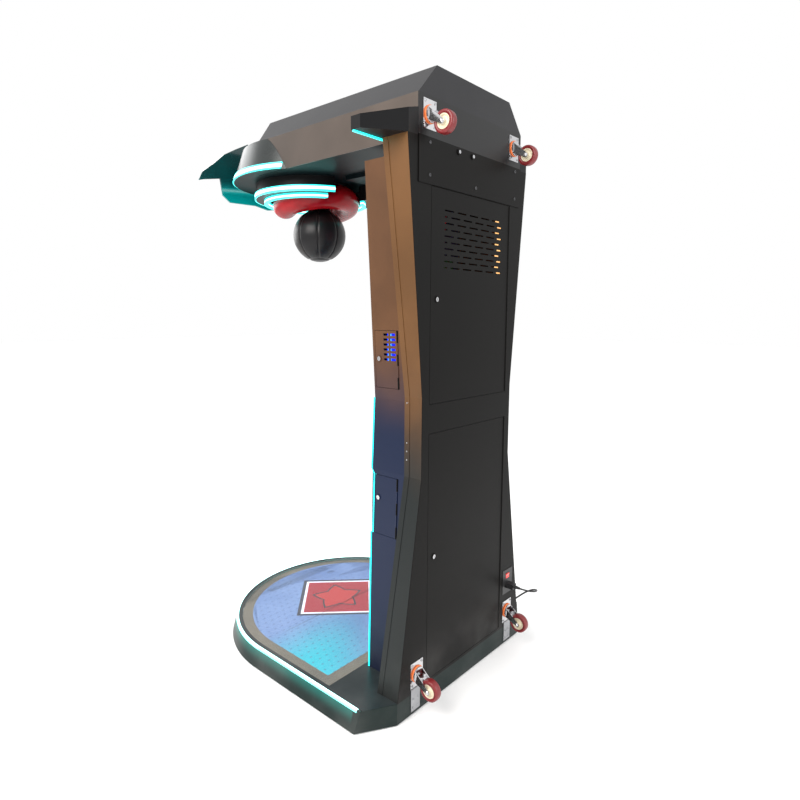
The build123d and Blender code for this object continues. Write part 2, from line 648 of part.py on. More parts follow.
underside = slab(-HOOD_HALF + SHEET + FIT, HOOD_HALF - SHEET - FIT, SHEET + FIT, NOSE_Y,
                 HOOD_Z, HOOD_Z + SHEET)
underside += nose_block(-NOSE_WALL - FIT, HOOD_Z, HOOD_Z + SHEET) - inside_box
underside -= slab(-ARM_SLOT_HALF, ARM_SLOT_HALF, ARM_SLOT_BACK, ARM_SLOT_FRONT, 1900, 2000)
underside += slab(-GUIDE_HALF, GUIDE_HALF, 330, 590, HOOD_Z - GUIDE_T, HOOD_Z)
save("hood_underside", underside)

notch_block = slab(-NOTCH_HALF, NOTCH_HALF, 500, DRUM_Y - 120, 1800, 2000)
notch_wide = slab(-NOTCH_HALF - THIN, NOTCH_HALF + THIN, 500, DRUM_Y - 120, 1800, 2000)
drum = ring_z(DRUM_Y, DRUM_LOW, HOOD_Z, DRUM_R, WELL_R)
drum -= ring_z(DRUM_Y, DRUM_LOW + THIN, HOOD_Z + 1, DRUM_R - THIN, WELL_R + THIN) - notch_wide
drum -= notch_block
save("ring_drum", drum)

outer_ring = ring_z(DRUM_Y, DRUM_LOW, DRUM_LOW + RING_H, DRUM_R + RING_T, DRUM_R + FIT) - notch_block
inner_ring = ring_z(DRUM_Y, STEP_LOW, DRUM_LOW, STEP_R, WELL_R + 4) - notch_block

# Shoulder wings repeat the plan of the platform's rear corners.
WING_OUT = 485.0
WING_SIDE_Y = 88.0
WING_FRONT_Y = 128.0
WING_EDGE_TOP = 2006.0
WING_MID_TOP = 2037.0
WING_ROOT_TOP = 2050.0
WING_LED_H = 5.0
wing_plan = [(HOOD_HALF + FIT, 0), (362, 0), (WING_OUT, WING_SIDE_Y)]
wing_plan += [(WING_OUT, WING_FRONT_Y), (HOOD_HALF + FIT, WING_FRONT_Y)]
wing_front = [(HOOD_HALF + FIT, HOOD_Z), (WING_OUT, HOOD_Z), (WING_OUT, WING_EDGE_TOP)]
wing_front += [(362, WING_MID_TOP), (HOOD_HALF + FIT, WING_ROOT_TOP)]
wing = prism_z(wing_plan, HOOD_Z, WING_ROOT_TOP) & prism_y(wing_front, -1, 140)
inner_plan = [(HOOD_HALF, SHEET), (362 - SHEET, SHEET), (WING_OUT - SHEET, WING_SIDE_Y + SHEET)]
inner_plan += [(WING_OUT - SHEET, WING_FRONT_Y - SHEET), (HOOD_HALF, WING_FRONT_Y - SHEET)]
inner_front = [(HOOD_HALF, HOOD_Z + SHEET), (WING_OUT - SHEET, HOOD_Z + SHEET)]
inner_front += [(WING_OUT - SHEET, WING_EDGE_TOP - SHEET), (362, WING_MID_TOP - SHEET)]
inner_front += [(HOOD_HALF, WING_ROOT_TOP - SHEET)]
wing -= prism_z(inner_plan, HOOD_Z, WING_ROOT_TOP) & prism_y(inner_front, -1, 140)
save("shoulder_wings", both(wing))
wing_led = slab(HOOD_HALF + 4, WING_OUT - 2, WING_FRONT_Y - 12, WING_FRONT_Y - 4,
                HOOD_Z - WING_LED_H, HOOD_Z)
save("hood_leds", band, outer_ring, inner_ring, both(wing_led))

# Header sign: a plain crest with stepped wings on two arms.
sign_y0 = NOSE_Y + NOSE_LOW_R + SIGN_GAP
CREST = [(0, 2178), (40, 2150), (110, 2196), (178, 2160), (240, 2124), (300, 2070), (352, 2030)]
CREST += [(372, 1990), (344, 1998), (262, 2014), (250, 1942), (212, 1914), (70, 1918), (0, 1906)]
crest_points = CREST + [(-x, z) for x, z in reversed(CREST[1:-1])]
sign = prism_y(crest_points, sign_y0, sign_y0 + SIGN_T)
for side in (-1, 1):
    sign += slab(side * 90, side * 66, NOSE_Y + 300, sign_y0 + 1, 2000, 2006)
sign -= nose_block(FIT, HOOD_Z - 10, HOOD_SIDE_TOP + 10) + slab(-200, 200, 700, NOSE_Y + 250, 1900, 2100)
save("header_sign", sign)

# ---------------------------------------------------------------- service plate
TEST_Z = 1954.0
TEST_LEFT = 101.0
TEST_RIGHT = 18.0
TEST_R = 6.0
plate = slab(-HOOD_HALF, HOOD_HALF, -PLATE_T, 0, PLATE_LOW, HOOD_Z + 5)
for x in (TEST_LEFT, TEST_RIGHT):
    plate += rod_y(x, -PLATE_T - 3, 0, TEST_Z, TEST_R + 4)
    plate -= rod_y(x, -20, 20, TEST_Z, TEST_R + FIT)
save("service_plate", plate)
for label, x in (("left", TEST_LEFT), ("right", TEST_RIGHT)):
    panel_hole = rod_y(x, -20, 20, TEST_Z, TEST_R + FIT)
    panel -= panel_hole
    save(f"test_button_{label}", rod_y(x, -PLATE_T - 6, 5, TEST_Z, TEST_R))
save("tower_back_panel", panel)

# ---------------------------------------------------------------- punch arm
CHEEK_X = 55.0
CHEEK_T = 6.0
SHAFT_R = 10.0
SHAFT_FIT = 0.05
BEARING_R = 24.0
BEARING_W = 14.0
ARM_R = 14.0
HUB_R = 22.0
HUB_HALF = 32.0
NECK_TOP_R = 24.0
NECK_LOW_R = 52.0
NECK_TOP = 1935.0
SWING_MAX = 7.0

cheek = slab(CHEEK_X, CHEEK_X + CHEEK_T, BALL_Y - 55, BALL_Y + 55, HOOD_Z + SHEET, 2088)
cheek += slab(CHEEK_X, CHEEK_X + 42, BALL_Y - 55, BALL_Y + 55, HOOD_Z + SHEET, HOOD_Z + SHEET + 6)
cheek -= rod_x(0, 200, BALL_Y, PIVOT_Z, SHAFT_R + 3)
bearing = rod_x(CHEEK_X + CHEEK_T, CHEEK_X + CHEEK_T + BEARING_W, BALL_Y, PIVOT_Z, BEARING_R)
bearing -= rod_x(0, 200, BALL_Y, PIVOT_Z, SHAFT_R + SHAFT_FIT)
save("pivot_bracket", both(cheek), both(bearing))

shaft_end = CHEEK_X + CHEEK_T + BEARING_W + 5
save("pivot_shaft", rod_x(-shaft_end, shaft_end, BALL_Y, PIVOT_Z, SHAFT_R))

arm = rod_z(0, BALL_Y, BALL_Z + 20, PIVOT_Z, ARM_R)
arm += rod_x(-HUB_HALF, HUB_HALF, BALL_Y, PIVOT_Z, HUB_R)
arm -= rod_x(-HUB_HALF - 1, HUB_HALF + 1, BALL_Y, PIVOT_Z, SHAFT_R)
save("swing_arm", arm)

neck_low = BALL_Z + 98
ball = Pos(0, back(BALL_Y), BALL_Z) * Sphere(BALL_R)
ball += Pos(0, back(BALL_Y), (neck_low + NECK_TOP) / 2) * Cone(NECK_LOW_R, NECK_TOP_R, NECK_TOP - neck_low)
ball -= rod_z(0, BALL_Y, BALL_Z + 20, NECK_TOP + 5, ARM_R)
save("punch_ball", ball)

# Bumper cushion: a fat round horseshoe round the neck, closed on the tower's side.
PAD_R = 143.0              # radius of its centre line
PAD_TUBE = 55.0
PAD_END = 112.0            # degrees from the tower's side to the centre of an end
PAD_TILT = 10.0            # degrees, front low
PAD_Y = BALL_Y + 20.0
PAD_Z = 1883.0             # height of the centre line at its own centre
end_rad = math.radians(PAD_END)
end_x = PAD_R * math.sin(end_rad)
end_y = PAD_R * math.cos(end_rad)
pad_path = ThreePointArc((end_x, end_y, 0), (0, PAD_R, 0), (-end_x, end_y, 0))
section = Plane(origin=pad_path @ 0, z_dir=pad_path % 0) * Circle(PAD_TUBE)
pad = sweep(section, path=pad_path)
pad += Pos(end_x, end_y, 0) * Sphere(PAD_TUBE) + Pos(-end_x, end_y, 0) * Sphere(PAD_TUBE)
save("bumper_cushion", Pos(0, back(PAD_Y), PAD_Z) * Rot(PAD_TILT, 0, 0) * pad)

# ---------------------------------------------------------------- casters
PLATE_W = 66.0
PLATE_H = 92.0
RACE_R = 27.0
RACE_T = 6.0
KING_R = 6.0
FORK_IN = 17.0
FORK_T = 3.0
WHEEL_R = 37.5
WHEEL_W = 27.0
WHEEL_BACK = CASTER_REACH - WHEEL_R
TRAIL = 35.0
AXLE_R = 4.0
AXLE_FIT = 0.06
HUB_OUT = 24.0
CASTERS = {"top_left": (260.0, 2038.0), "top_right": (-260.0, 2038.0),
           "bottom_left": (300.0, 148.0), "bottom_right": (-300.0, 148.0)}

mounts = []
for name, (cx, cz) in CASTERS.items():
    mount = slab(cx - PLATE_W / 2, cx + PLATE_W / 2, -SHEET, 0, cz - PLATE_H / 2, cz + PLATE_H / 2)
    mount += rod_y(cx, -SHEET - RACE_T, -SHEET, cz, RACE_R)
    mount += rod_y(cx, -SHEET - RACE_T - 9, -SHEET, cz, KING_R)
    mounts.append(mount)
    fork_y = SHEET + RACE_T + 0.4
    wheel_z = cz - TRAIL
    fork = rod_y(cx, -fork_y - 4, -fork_y, cz, RACE_R - 1)
    side_view = [(-fork_y, cz + 20), (-fork_y, cz - 20), (-WHEEL_BACK - 4, wheel_z - 11),
                 (-WHEEL_BACK - 11, wheel_z), (-WHEEL_BACK + 2, wheel_z + 12)]
    for side in (-1, 1):
        fork += prism_x(side_view, cx + side * FORK_IN, cx + side * (FORK_IN + FORK_T))
    fork -= rod_y(cx, -60, 0, cz, KING_R + AXLE_FIT)
    axle = rod_x(cx - 23, cx + 23, -WHEEL_BACK, wheel_z, AXLE_R)
    fork -= rod_x(cx - 30, cx + 30, -WHEEL_BACK, wheel_z, AXLE_R)
    save(f"caster_fork_{name}", fork, axle)
    tyre = rod_x(cx - WHEEL_W / 2, cx + WHEEL_W / 2, -WHEEL_BACK, wheel_z, WHEEL_R)
    tyre -= rod_x(cx - 30, cx + 30, -WHEEL_BACK, wheel_z, HUB_OUT)
    hub = rod_x(cx - WHEEL_W / 2 - 2, cx + WHEEL_W / 2 + 2, -WHEEL_BACK, wheel_z, HUB_OUT)
    hub -= rod_x(cx - 30, cx + 30, -WHEEL_BACK, wheel_z, AXLE_R + AXLE_FIT)
    save(f"caster_wheel_{name}", tyre, hub)
save("caster_mounts", mounts)

STRAP_X = 306.0
STRAP_W = 48.0
straps = slab(STRAP_X - STRAP_W / 2, STRAP_X + STRAP_W / 2, -SHEET, 0, 16, 98)
save("joining_straps", both(straps))

# ---------------------------------------------------------------- screws
SCREW_R = 6.0
SCREW_H = 3.0
CASTER_SCREW = 4.5
screws = []
for x, z in ((257, 1954), (257, 1852), (-272, 1955), (-272, 1852), (-6, 1851)):
    screws.append(rod_y(x, -PLATE_T - SCREW_H, -PLATE_T, z, SCREW_R))
for cx, cz in CASTERS.values():
    for dx in (-25, 25):
        for dz in (-38, 38):
            screws.append(rod_y(cx + dx, -SHEET - SCREW_H, -SHEET, cz + dz, CASTER_SCREW))
for side in (-1, 1):
    for dx in (-12, 12):
        for z in (28, 60):
            screws.append(rod_y(side * STRAP_X + dx, -SHEET - SCREW_H, -SHEET, z, CASTER_SCREW))
save("panel_screws", screws)

# ---------------------------------------------------------------- power inlet and lead
INLET_DEEP = 32.0
inlet = slab(INLET_X - INLET_W / 2 - 5, INLET_X + INLET_W / 2 + 5, -1.5, 0,
             INLET_Z - INLET_H / 2 - 5, INLET_Z + INLET_H / 2 + 5)
inlet += slab(INLET_X - INLET_W / 2 + FIT, INLET_X + INLET_W / 2 - FIT, 0, INLET_DEEP,
              INLET_Z - INLET_H / 2 + FIT, INLET_Z + INLET_H / 2 - FIT)
SWITCH_Z = INLET_Z + 24
SOCKET_Z = INLET_Z - 16
SWITCH_HALF = 13.0
inlet -= slab(INLET_X - SWITCH_HALF, INLET_X + SWITCH_HALF, -5, 16, SWITCH_Z - 11, SWITCH_Z + 11)
inlet -= slab(INLET_X - 14, INLET_X + 14, -5, 18, SOCKET_Z - 11, SOCKET_Z + 11)
save("power_inlet", inlet)

rocker_side = [(-4.5, SWITCH_Z + 9.5), (-1.5, SWITCH_Z), (-2.5, SWITCH_Z - 9.5)]
rocker_side += [(8, SWITCH_Z - 6), (8, SWITCH_Z + 6)]
rocker = prism_x(rocker_side, INLET_X - SWITCH_HALF + 1, INLET_X + SWITCH_HALF - 1)
rocker += rod_x(INLET_X - SWITCH_HALF + 0.2, INLET_X + SWITCH_HALF - 0.2, 4, SWITCH_Z, 2)
save("rocker_switch", rocker)

CORD_R = 3.5
plug_out = 36.0
relief_out = 62.0
plug = slab(INLET_X - 13.5, INLET_X + 13.5, -plug_out, 17.5, SOCKET_Z - 10.5, SOCKET_Z + 10.5)
plug += Pos(INLET_X, back(-(plug_out + relief_out) / 2), SOCKET_Z) * Rot(-90, 0, 0) * Cone(
    8.0, 4.6, relief_out - plug_out)
save("inlet_plug", plug)

# Route of the lead: x, distance in front of the rear plane, height.
LEAD = [(INLET_X, -relief_out, SOCKET_Z), (INLET_X, -94, SOCKET_Z), (-334, -118, 256),
        (-376, -104, 243), (-408, -70, 224), (-420, -26, 194), (-422, 20, 150),
        (-424, 60, 114), (-444, 94, 94), (-484, 120, 91), (-528, 140, 91),
        (-556, 158, 66), (-562, 178, 28), (-562, 204, 6), (-554, 252, 4), (-549, 299, 4)]
lead_points = [Vector(x, back(y), z) for x, y, z in LEAD]


def bend_radii(points):
    """Each bend is as large as the two runs beside it allow."""
    radii = []
    for before, here, after in zip(points, points[1:], points[2:]):
        turn = math.radians((here - before).get_angle(after - here))
        shorter = min((here - before).length, (after - here).length)
        radii.append(0.45 * shorter / math.tan(turn / 2))
    return radii


lead_radii = bend_radii(lead_points)
lead_path = FilletPolyline(*lead_points, radius=lead_radii)
lead_start = Plane(origin=lead_path @ 0, z_dir=lead_path % 0)
lead = sweep(lead_start * Circle(CORD_R), path=lead_path)
save("power_cord", lead)

COIL_R = 42.0
COIL_HALF = 10.5
COIL_X = -598.0
COIL_Y = 318.0
COIL_H = 15.0
coil = rod_z(COIL_X, COIL_Y, 0.5, 0.5 + COIL_H, COIL_R + COIL_HALF)
coil -= rod_z(COIL_X, COIL_Y, -1, 30, COIL_R - COIL_HALF)
save("cord_coil", coil)

wall_plug = slab(COIL_X - 16, COIL_X + 16, COIL_Y + 70, COIL_Y + 106, 0.5, 26)
wall_plug += slab(COIL_X - 5, COIL_X + 5, COIL_Y + COIL_R + COIL_HALF - 4, COIL_Y + 70, 4, 14)
for dx in (-9.5, 9.5):
    wall_plug += rod_y(COIL_X + dx, COIL_Y + 106, COIL_Y + 125, 13, 2.4)
save("wall_plug", wall_plug)

print("nodes", len(NODES), "solids", sum(NODES.values()))
print("lead radii", [round(r) for r in lead_radii])
print("lead length", round(lead_path.length), "volume", round(lead.volume),
      "section x length", round(math.pi * CORD_R ** 2 * lead_path.length))
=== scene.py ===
# %% [markdown]
# # A boxing punch machine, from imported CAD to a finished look
#
# The sheet metal, doors, casters and mechanism come from CAD and are already the right shape
# and size. This lesson gives every surface its finish, rebuilds the soft pieces, and adds the
# small repeated details. All lengths are metres, and +Y is the machine's back.

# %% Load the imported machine
import math

import bmesh
import bpy
import numpy as np
from mathutils import Matrix, Vector


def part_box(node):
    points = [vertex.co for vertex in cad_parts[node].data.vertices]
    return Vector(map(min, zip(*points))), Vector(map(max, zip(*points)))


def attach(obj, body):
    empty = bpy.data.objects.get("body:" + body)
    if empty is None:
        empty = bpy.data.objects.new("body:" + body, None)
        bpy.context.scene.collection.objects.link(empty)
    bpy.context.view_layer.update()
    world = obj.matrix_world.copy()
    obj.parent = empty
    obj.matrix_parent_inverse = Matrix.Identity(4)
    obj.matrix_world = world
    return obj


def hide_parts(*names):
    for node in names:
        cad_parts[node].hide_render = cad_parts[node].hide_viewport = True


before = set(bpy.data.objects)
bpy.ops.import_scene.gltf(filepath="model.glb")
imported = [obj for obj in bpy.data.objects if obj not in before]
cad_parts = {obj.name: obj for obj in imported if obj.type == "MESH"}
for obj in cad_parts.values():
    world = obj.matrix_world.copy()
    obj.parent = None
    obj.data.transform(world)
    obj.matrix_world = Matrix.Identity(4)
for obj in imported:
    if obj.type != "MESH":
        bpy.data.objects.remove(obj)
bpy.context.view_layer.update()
MM = 0.001
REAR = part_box("tower_back_panel")[1].y
print("loaded", len(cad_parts), "nodes; rear plane at y =", round(REAR, 4))


def back(distance):
    """Y of a plane this many millimetres in front of the rear plane."""
    return REAR - distance * MM


# %% [markdown]
# ## Camera
#
# The machine is looked at from behind and to one side, from a little above chest height, with a
# fairly wide lens. The heading, tilt and roll are turned into the camera's own axes, which is
# easier to read than three Euler angles.

# %% Camera
eye = Vector((1.7967, REAR + 1.2305, 1.4040))
heading = math.radians(131.636)
tilt = math.radians(-6.558)
roll = math.radians(0.283)
look = Vector((-math.sin(heading) * math.cos(tilt), math.cos(heading) * math.cos(tilt), math.sin(tilt)))
level = look.cross(Vector((0, 0, 1))).normalized()
upward = level.cross(look)
across = level * math.cos(roll) + upward * math.sin(roll)
upright = upward * math.cos(roll) - level * math.sin(roll)
camera_data = bpy.data.cameras.new("camera")
camera_data.sensor_width = 36
camera_data.lens = 26.42
camera_data.shift_x = 0.0045
camera_data.shift_y = -0.0234
camera = bpy.data.objects.new("camera", camera_data)
camera.matrix_world = Matrix.Translation(eye) @ Matrix((across, upright, -look)).transposed().to_4x4()
bpy.context.scene.collection.objects.link(camera)
bpy.context.scene.camera = camera
print("camera at", [round(v, 2) for v in eye])

# %% [markdown]
# ## Surfaces as arithmetic
#
# A finish is written as arithmetic on fields: numbers that vary over the surface. `Field` gives
# a node socket the usual operators, and `Finish` makes the nodes, so that a pattern reads like a
# formula and not like a page of links.


# %% Field and Finish
class Field:
    """A number, or a colour, that varies over a surface."""

    def __init__(self, finish, socket):
        self.finish = finish
        self.socket = socket

    def maths(self, kind, *others):
        return self.finish.maths(kind, self, *others)

    def __add__(self, other):
        return self.maths("ADD", other)

    def __sub__(self, other):
        return self.maths("SUBTRACT", other)

    def __rsub__(self, other):
        return self.finish.maths("SUBTRACT", other, self)

    def __mul__(self, other):
        return self.maths("MULTIPLY", other)

    def __truediv__(self, other):
        return self.maths("DIVIDE", other)

    def __pow__(self, other):
        return self.maths("POWER", other)

    def __abs__(self):
        return self.maths("ABSOLUTE")

    __radd__ = __add__
    __rmul__ = __mul__

    def ramp(self, low, high):
        """0 below low, 1 above high, and smooth between; low may be the higher one."""
        if low > high:
            return 1 - self.ramp(high, low)
        node = self.finish.node("ShaderNodeMapRange", {0: self, 1: low, 2: high},
                                interpolation_type="SMOOTHSTEP")
        return Field(self.finish, node.outputs[0])

    def window(self, low, high, soft):
        """1 between low and high, with soft edges."""
        return self.ramp(low - soft, low + soft) * self.ramp(high + soft, high - soft)


class Finish:
    """One material: constants sit on the shader, and whatever varies is fed by fields."""

    def __init__(self, name, **constants):
        self.material = bpy.data.materials.new(name)
        self.material.use_nodes = True
        self.tree = self.material.node_tree
        self.shader = self.tree.nodes["Principled BSDF"]
        for socket, value in constants.items():
            self.shader.inputs[socket.replace("_", " ")].default_value = value
        self.places = {}

    def node(self, kind, inputs=None, **settings):
        made = self.tree.nodes.new(kind)
        for key, value in settings.items():
            setattr(made, key, value)
        for socket, value in (inputs or {}).items():
            if isinstance(value, Field):
                self.tree.links.new(value.socket, made.inputs[socket])
            else:
                made.inputs[socket].default_value = value
        return made

    def maths(self, kind, *values):
        made = self.node("ShaderNodeMath", dict(enumerate(values)), operation=kind)
        return Field(self, made.outputs[0])

    def point(self, stretch=(1, 1, 1)):
        coords = self.node("ShaderNodeTexCoord")
        mapped = self.node("ShaderNodeMapping", {0: Field(self, coords.outputs["Object"]), 3: stretch})
        return Field(self, mapped.outputs[0])

    def xyz(self):
        parts = self.node("ShaderNodeSeparateXYZ", {0: self.point()})
        return [Field(self, parts.outputs[i]) for i in range(3)]

    def noise(self, scale, detail=3, stretch=(1, 1, 1)):
        made = self.node("ShaderNodeTexNoise", {"Vector": self.point(stretch), "Scale": scale,
                                                "Detail": detail})
        return Field(self, made.outputs[0])

    def cells(self, scale, feature="F1"):
        made = self.node("ShaderNodeTexVoronoi", {"Vector": self.point(), "Scale": scale},
                         feature=feature)
        return Field(self, made.outputs[0])

    def blend(self, factor, first, second):
        made = self.node("ShaderNodeMix", {0: factor}, data_type="RGBA")
        for socket, value in ((6, first), (7, second)):
            if isinstance(value, Field):
                self.tree.links.new(value.socket, made.inputs[socket])
            else:
                made.inputs[socket].default_value = (*value, 1)
        return Field(self, made.outputs[2])

    def feed(self, socket, field):
        self.tree.links.new(field.socket, self.shader.inputs[socket])
        return self

    def bump(self, height, depth, strength=1.0):
        made = self.node("ShaderNodeBump", {"Height": height, "Distance": depth, "Strength": strength})
        return self.feed("Normal", Field(self, made.outputs[0]))


print("shader tools ready")

# %% [markdown]
# ## Painted sheet metal
#
# Powder coat is never a flat colour: it has a fine orange-peel texture, dull patches where it is
# handled, and dust low down. One function makes every painted finish, and two body colours fade
# from bronze at the top to blue-black at the foot, as the real two-tone coat does.


# %% Powder coats
def powder(name, colour, rough=0.42, peel=0.00012, foot=None, foot_range=(0.9, 1.2),
           metallic=0.0, specular=0.5, painted_glow=None, rear=None):
    """A sprayed coat; it may fade to foot low down, carry a painted glow of light from a strip above it, or
    be rear on its back.
    """
    coat = Finish(name, Metallic=metallic, Specular_IOR_Level=specular,
                  Emission_Strength=1.0 if painted_glow else 0.0)
    x, y, z = coat.xyz()
    cloud = coat.noise(3.5, 4)
    speck = coat.noise(420, 2)
    shade = tuple(c * 1.35 for c in colour)
    base = coat.blend(cloud.ramp(0.3, 0.75), colour, shade)
    if foot:
        base = coat.blend((z + cloud * 0.12).ramp(foot_range[1], foot_range[0]), base, foot)
    dusty = z.ramp(0.35, 0.0) * cloud.ramp(0.35, 0.8) * 0.35
    base = coat.blend(dusty, base, (0.16, 0.155, 0.15))
    if rear:
        base = coat.blend((y - back(3)).ramp(-0.001, 0.001), base, rear)
    coat.feed("Base Color", base)
    # Painted light: the strip's teal light on the skirt is painted as a faint emission near the skirt's top
    # edge.
    if painted_glow:
        ahead_of = (back(95) - y).ramp(0.0, 0.01)
        glow_mask = (z.ramp(0.012, 0.070) ** 2.0) * ahead_of
        coat.feed("Emission Color", coat.blend(glow_mask, (0, 0, 0), painted_glow))
    coat.feed("Roughness", rough + (cloud - 0.5) * 0.16 + (speck - 0.5) * 0.08)
    coat.bump(speck, peel, 0.5)
    return coat.material


def paint(material, *nodes):
    """Give CAD nodes a finish, in every slot they have."""
    for node in nodes:
        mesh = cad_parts[node].data
        mesh.materials.clear()
        mesh.materials.append(material)


BRONZE = (0.105, 0.046, 0.013)
black_coat = powder("black_powder_coat", (0.0030, 0.0027, 0.0024), 0.42, specular=0.10)
bronze_coat = powder("bronze_powder_coat", BRONZE, 0.38, foot=(0.008, 0.011, 0.011),
                     foot_range=(0.80, 1.35), metallic=0.2, specular=0.35)
housing_coat = powder("housing_powder_coat", (0.085, 0.036, 0.013), 0.36, foot=(0.0015, 0.008, 0.035),
                      foot_range=(1.0, 1.42), metallic=0.2, specular=0.35)
hood_coat = powder("hood_powder_coat", (0.062, 0.047, 0.038), 0.36, metallic=0.3, rear=(0.006, 0.006, 0.0065))
nose_coat = powder("nose_powder_coat", (0.024, 0.028, 0.028), 0.30, metallic=0.3, specular=0.4)
cap_coat = powder("cap_powder_coat", (0.020, 0.020, 0.022), 0.40, metallic=0.3, specular=0.3)
wing_coat = powder("wing_powder_coat", (0.005, 0.005, 0.0055), 0.40, specular=0.16)
# The skirt carries painted light: a teal glow near its top edge stands in for the light strip above it.
skirt_coat = powder("skirt_powder_coat", (0.004, 0.012, 0.011), 0.38, specular=0.16, painted_glow=(0.0, 0.16, 0.13))
deck_coat = powder("deck_powder_coat", (0.010, 0.017, 0.019), 0.33, peel=0.0002, specular=0.25)
frame_coat = powder("frame_paint", (0.015, 0.015, 0.016), 0.55)
under_coat = powder("underside_powder_coat", (0.002, 0.005, 0.006), 0.42, specular=0.08)
paint(black_coat, "tower_back_panel", "upper_door", "lower_door", "service_plate")
paint(under_coat, "hood_underside")
paint(bronze_coat, "pillars")
paint(housing_coat, "display_housing", "service_door", "cash_door")
paint(hood_coat, "hood_body")
paint(nose_coat, "hood_nose")
paint(cap_coat, "hood_cap")
paint(wing_coat, "shoulder_wings", "ring_drum")
paint(skirt_coat, "base_skirt")
paint(deck_coat, "base_deck")
paint(frame_coat, "base_frame", "pivot_bracket", "swing_arm")
print("powder coats on", len(bpy.data.materials), "materials")

# %% [markdown]
# ## Light strips
#
# Each strip is a milky diffuser over a row of cyan diodes: nearly white along its middle and
# cyan along its edges. The middle is found from the strip's own geometry, so the core follows the
# round front of the platform without a texture map.

# %% Lit diffusers
CYAN = (0.0, 0.42, 0.38)
CORE = (0.55, 1.0, 0.95)
strip_low, strip_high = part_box("base_led_strip")
STRIP_MID = strip_high.x - 0.0047
ARC_Y = strip_low.y + strip_high.x


def diffuser(name, strength):
    return Finish(name, Roughness=0.35, Emission_Strength=strength)


floor_light = diffuser("platform_diffuser", 3.2)
x, y, z = floor_light.xyz()
ahead = (y - ARC_Y).maths("MINIMUM", 0.0)
off_line = abs((x * x + ahead * ahead).maths("SQRT") - STRIP_MID)
core = off_line.ramp(0.0052, 0.0034)
diodes = floor_light.noise(60, 2) * 0.25 + 0.8
floor_light.feed("Base Color", floor_light.blend(core, (0.1, 0.6, 0.6), (0.8, 0.95, 0.95)))
floor_light.feed("Emission Color", floor_light.blend(core * diodes, CYAN, CORE))
paint(floor_light.material, "base_led_strip")

HOOD_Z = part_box("hood_body")[0].z
hood_light = diffuser("hood_diffuser", 3.2)
x, y, z = hood_light.xyz()
core = z.window(HOOD_Z + 0.0095, HOOD_Z + 0.0205, 0.002)
core = core + z.window(HOOD_Z - 0.055, HOOD_Z - 0.045, 0.002)
core = core + z.window(HOOD_Z - 0.0765, HOOD_Z - 0.0705, 0.002)
diodes = hood_light.noise(60, 2) * 0.25 + 0.8
hood_light.feed("Base Color", hood_light.blend(core, (0.1, 0.6, 0.6), (0.8, 0.95, 0.95)))
hood_light.feed("Emission Color", hood_light.blend(core * diodes, CYAN, CORE))
paint(hood_light.material, "hood_leds")
print("strip middle at", round(STRIP_MID, 4), "m; arc centre at y =", round(ARC_Y, 4))

# %% [markdown]
# ## The platform's window
#
# Under the clear glass lies a printed film, lit from below, inside a brushed metal border. The
# film has rows of pale dots and a plain badge: a red diamond with a white and a dark outline and
# a star. Distances to the diamond's edge make the outlines, so they stay crisp at any size.

# %% Printed film, glass and border
film = Finish("printed_film", Roughness=0.4, Emission_Strength=0.34, Specular_IOR_Level=0.2)
x, y, z = film.xyz()
BADGE_Y = back(732)
BADGE_R = 0.235
haze = film.noise(2.2, 3)
sky = film.blend(haze.ramp(0.3, 0.7), (0.09, 0.16, 0.36), (0.16, 0.25, 0.46))
teal = (x - y * 0.6).ramp(-0.05, 0.35) * y.ramp(-0.15, 0.15)
sky = film.blend(teal, sky, (0.005, 0.40, 0.50))
PITCH = 0.034
row = (y / PITCH).maths("FLOOR")
shift = row.maths("MODULO", 2.0) * 0.5
across_cell = (x / PITCH + shift).maths("FRACT") - 0.5
along_cell = (y / PITCH).maths("FRACT") - 0.5
dot = (across_cell * across_cell + along_cell * along_cell * 3.0).maths("SQRT").ramp(0.20, 0.14)
picture = film.blend(dot * 0.65, sky, (0.05, 0.09, 0.22))
reach = abs(x) + abs(y - BADGE_Y)
picture = film.blend(reach.ramp(BADGE_R + 0.012, BADGE_R + 0.009), picture, (0.03, 0.03, 0.05))
picture = film.blend(reach.ramp(BADGE_R - 0.010, BADGE_R - 0.013), picture, (0.75, 0.80, 0.95))
picture = film.blend(reach.ramp(BADGE_R - 0.026, BADGE_R - 0.029), picture, (0.30, 0.008, 0.02))
from_badge = y - BADGE_Y
angle = x.maths("ARCTAN2", from_badge)
spread = (x * x + from_badge * from_badge).maths("SQRT")
wedge = abs((angle * (5 / math.tau)).maths("FRACT") - 0.5)
star = spread * (1.0 + 1.35 * (0.5 - wedge))
picture = film.blend(star.ramp(0.125, 0.122), picture, (0.02, 0.02, 0.03))
picture = film.blend(star.ramp(0.112, 0.109), picture, (0.40, 0.02, 0.02))
film.feed("Base Color", picture)
film.feed("Emission Color", picture)
film.bump(film.noise(500, 2), 0.00005, 0.3)
paint(film.material, "floor_print")

glass = Finish("platform_glass", Roughness=0.04, Transmission_Weight=0.0, Alpha=0.08, IOR=1.45)
smear = glass.noise(5, 4)
glass.feed("Roughness", smear.ramp(0.35, 0.8) * 0.14 + 0.04)
glass.feed("Base Color", glass.blend(smear, (0.7, 0.85, 0.9), (0.85, 0.92, 0.95)))
paint(glass.material, "floor_glass")


def brushed(name, colour, rough=0.3, stretch=(1, 60, 60), metallic=1.0):
    metal = Finish(name, Metallic=metallic)
    grain = metal.noise(40, 4, stretch)
    cloud = metal.noise(6, 3)
    dark = tuple(c * 0.6 for c in colour)
    metal.feed("Base Color", metal.blend(cloud.ramp(0.3, 0.75) * 0.6 + grain * 0.4, dark, colour))
    metal.feed("Roughness", rough + (grain - 0.5) * 0.25 + (cloud - 0.5) * 0.1)
    metal.bump(grain, 0.00004, 0.4)
    return metal.material


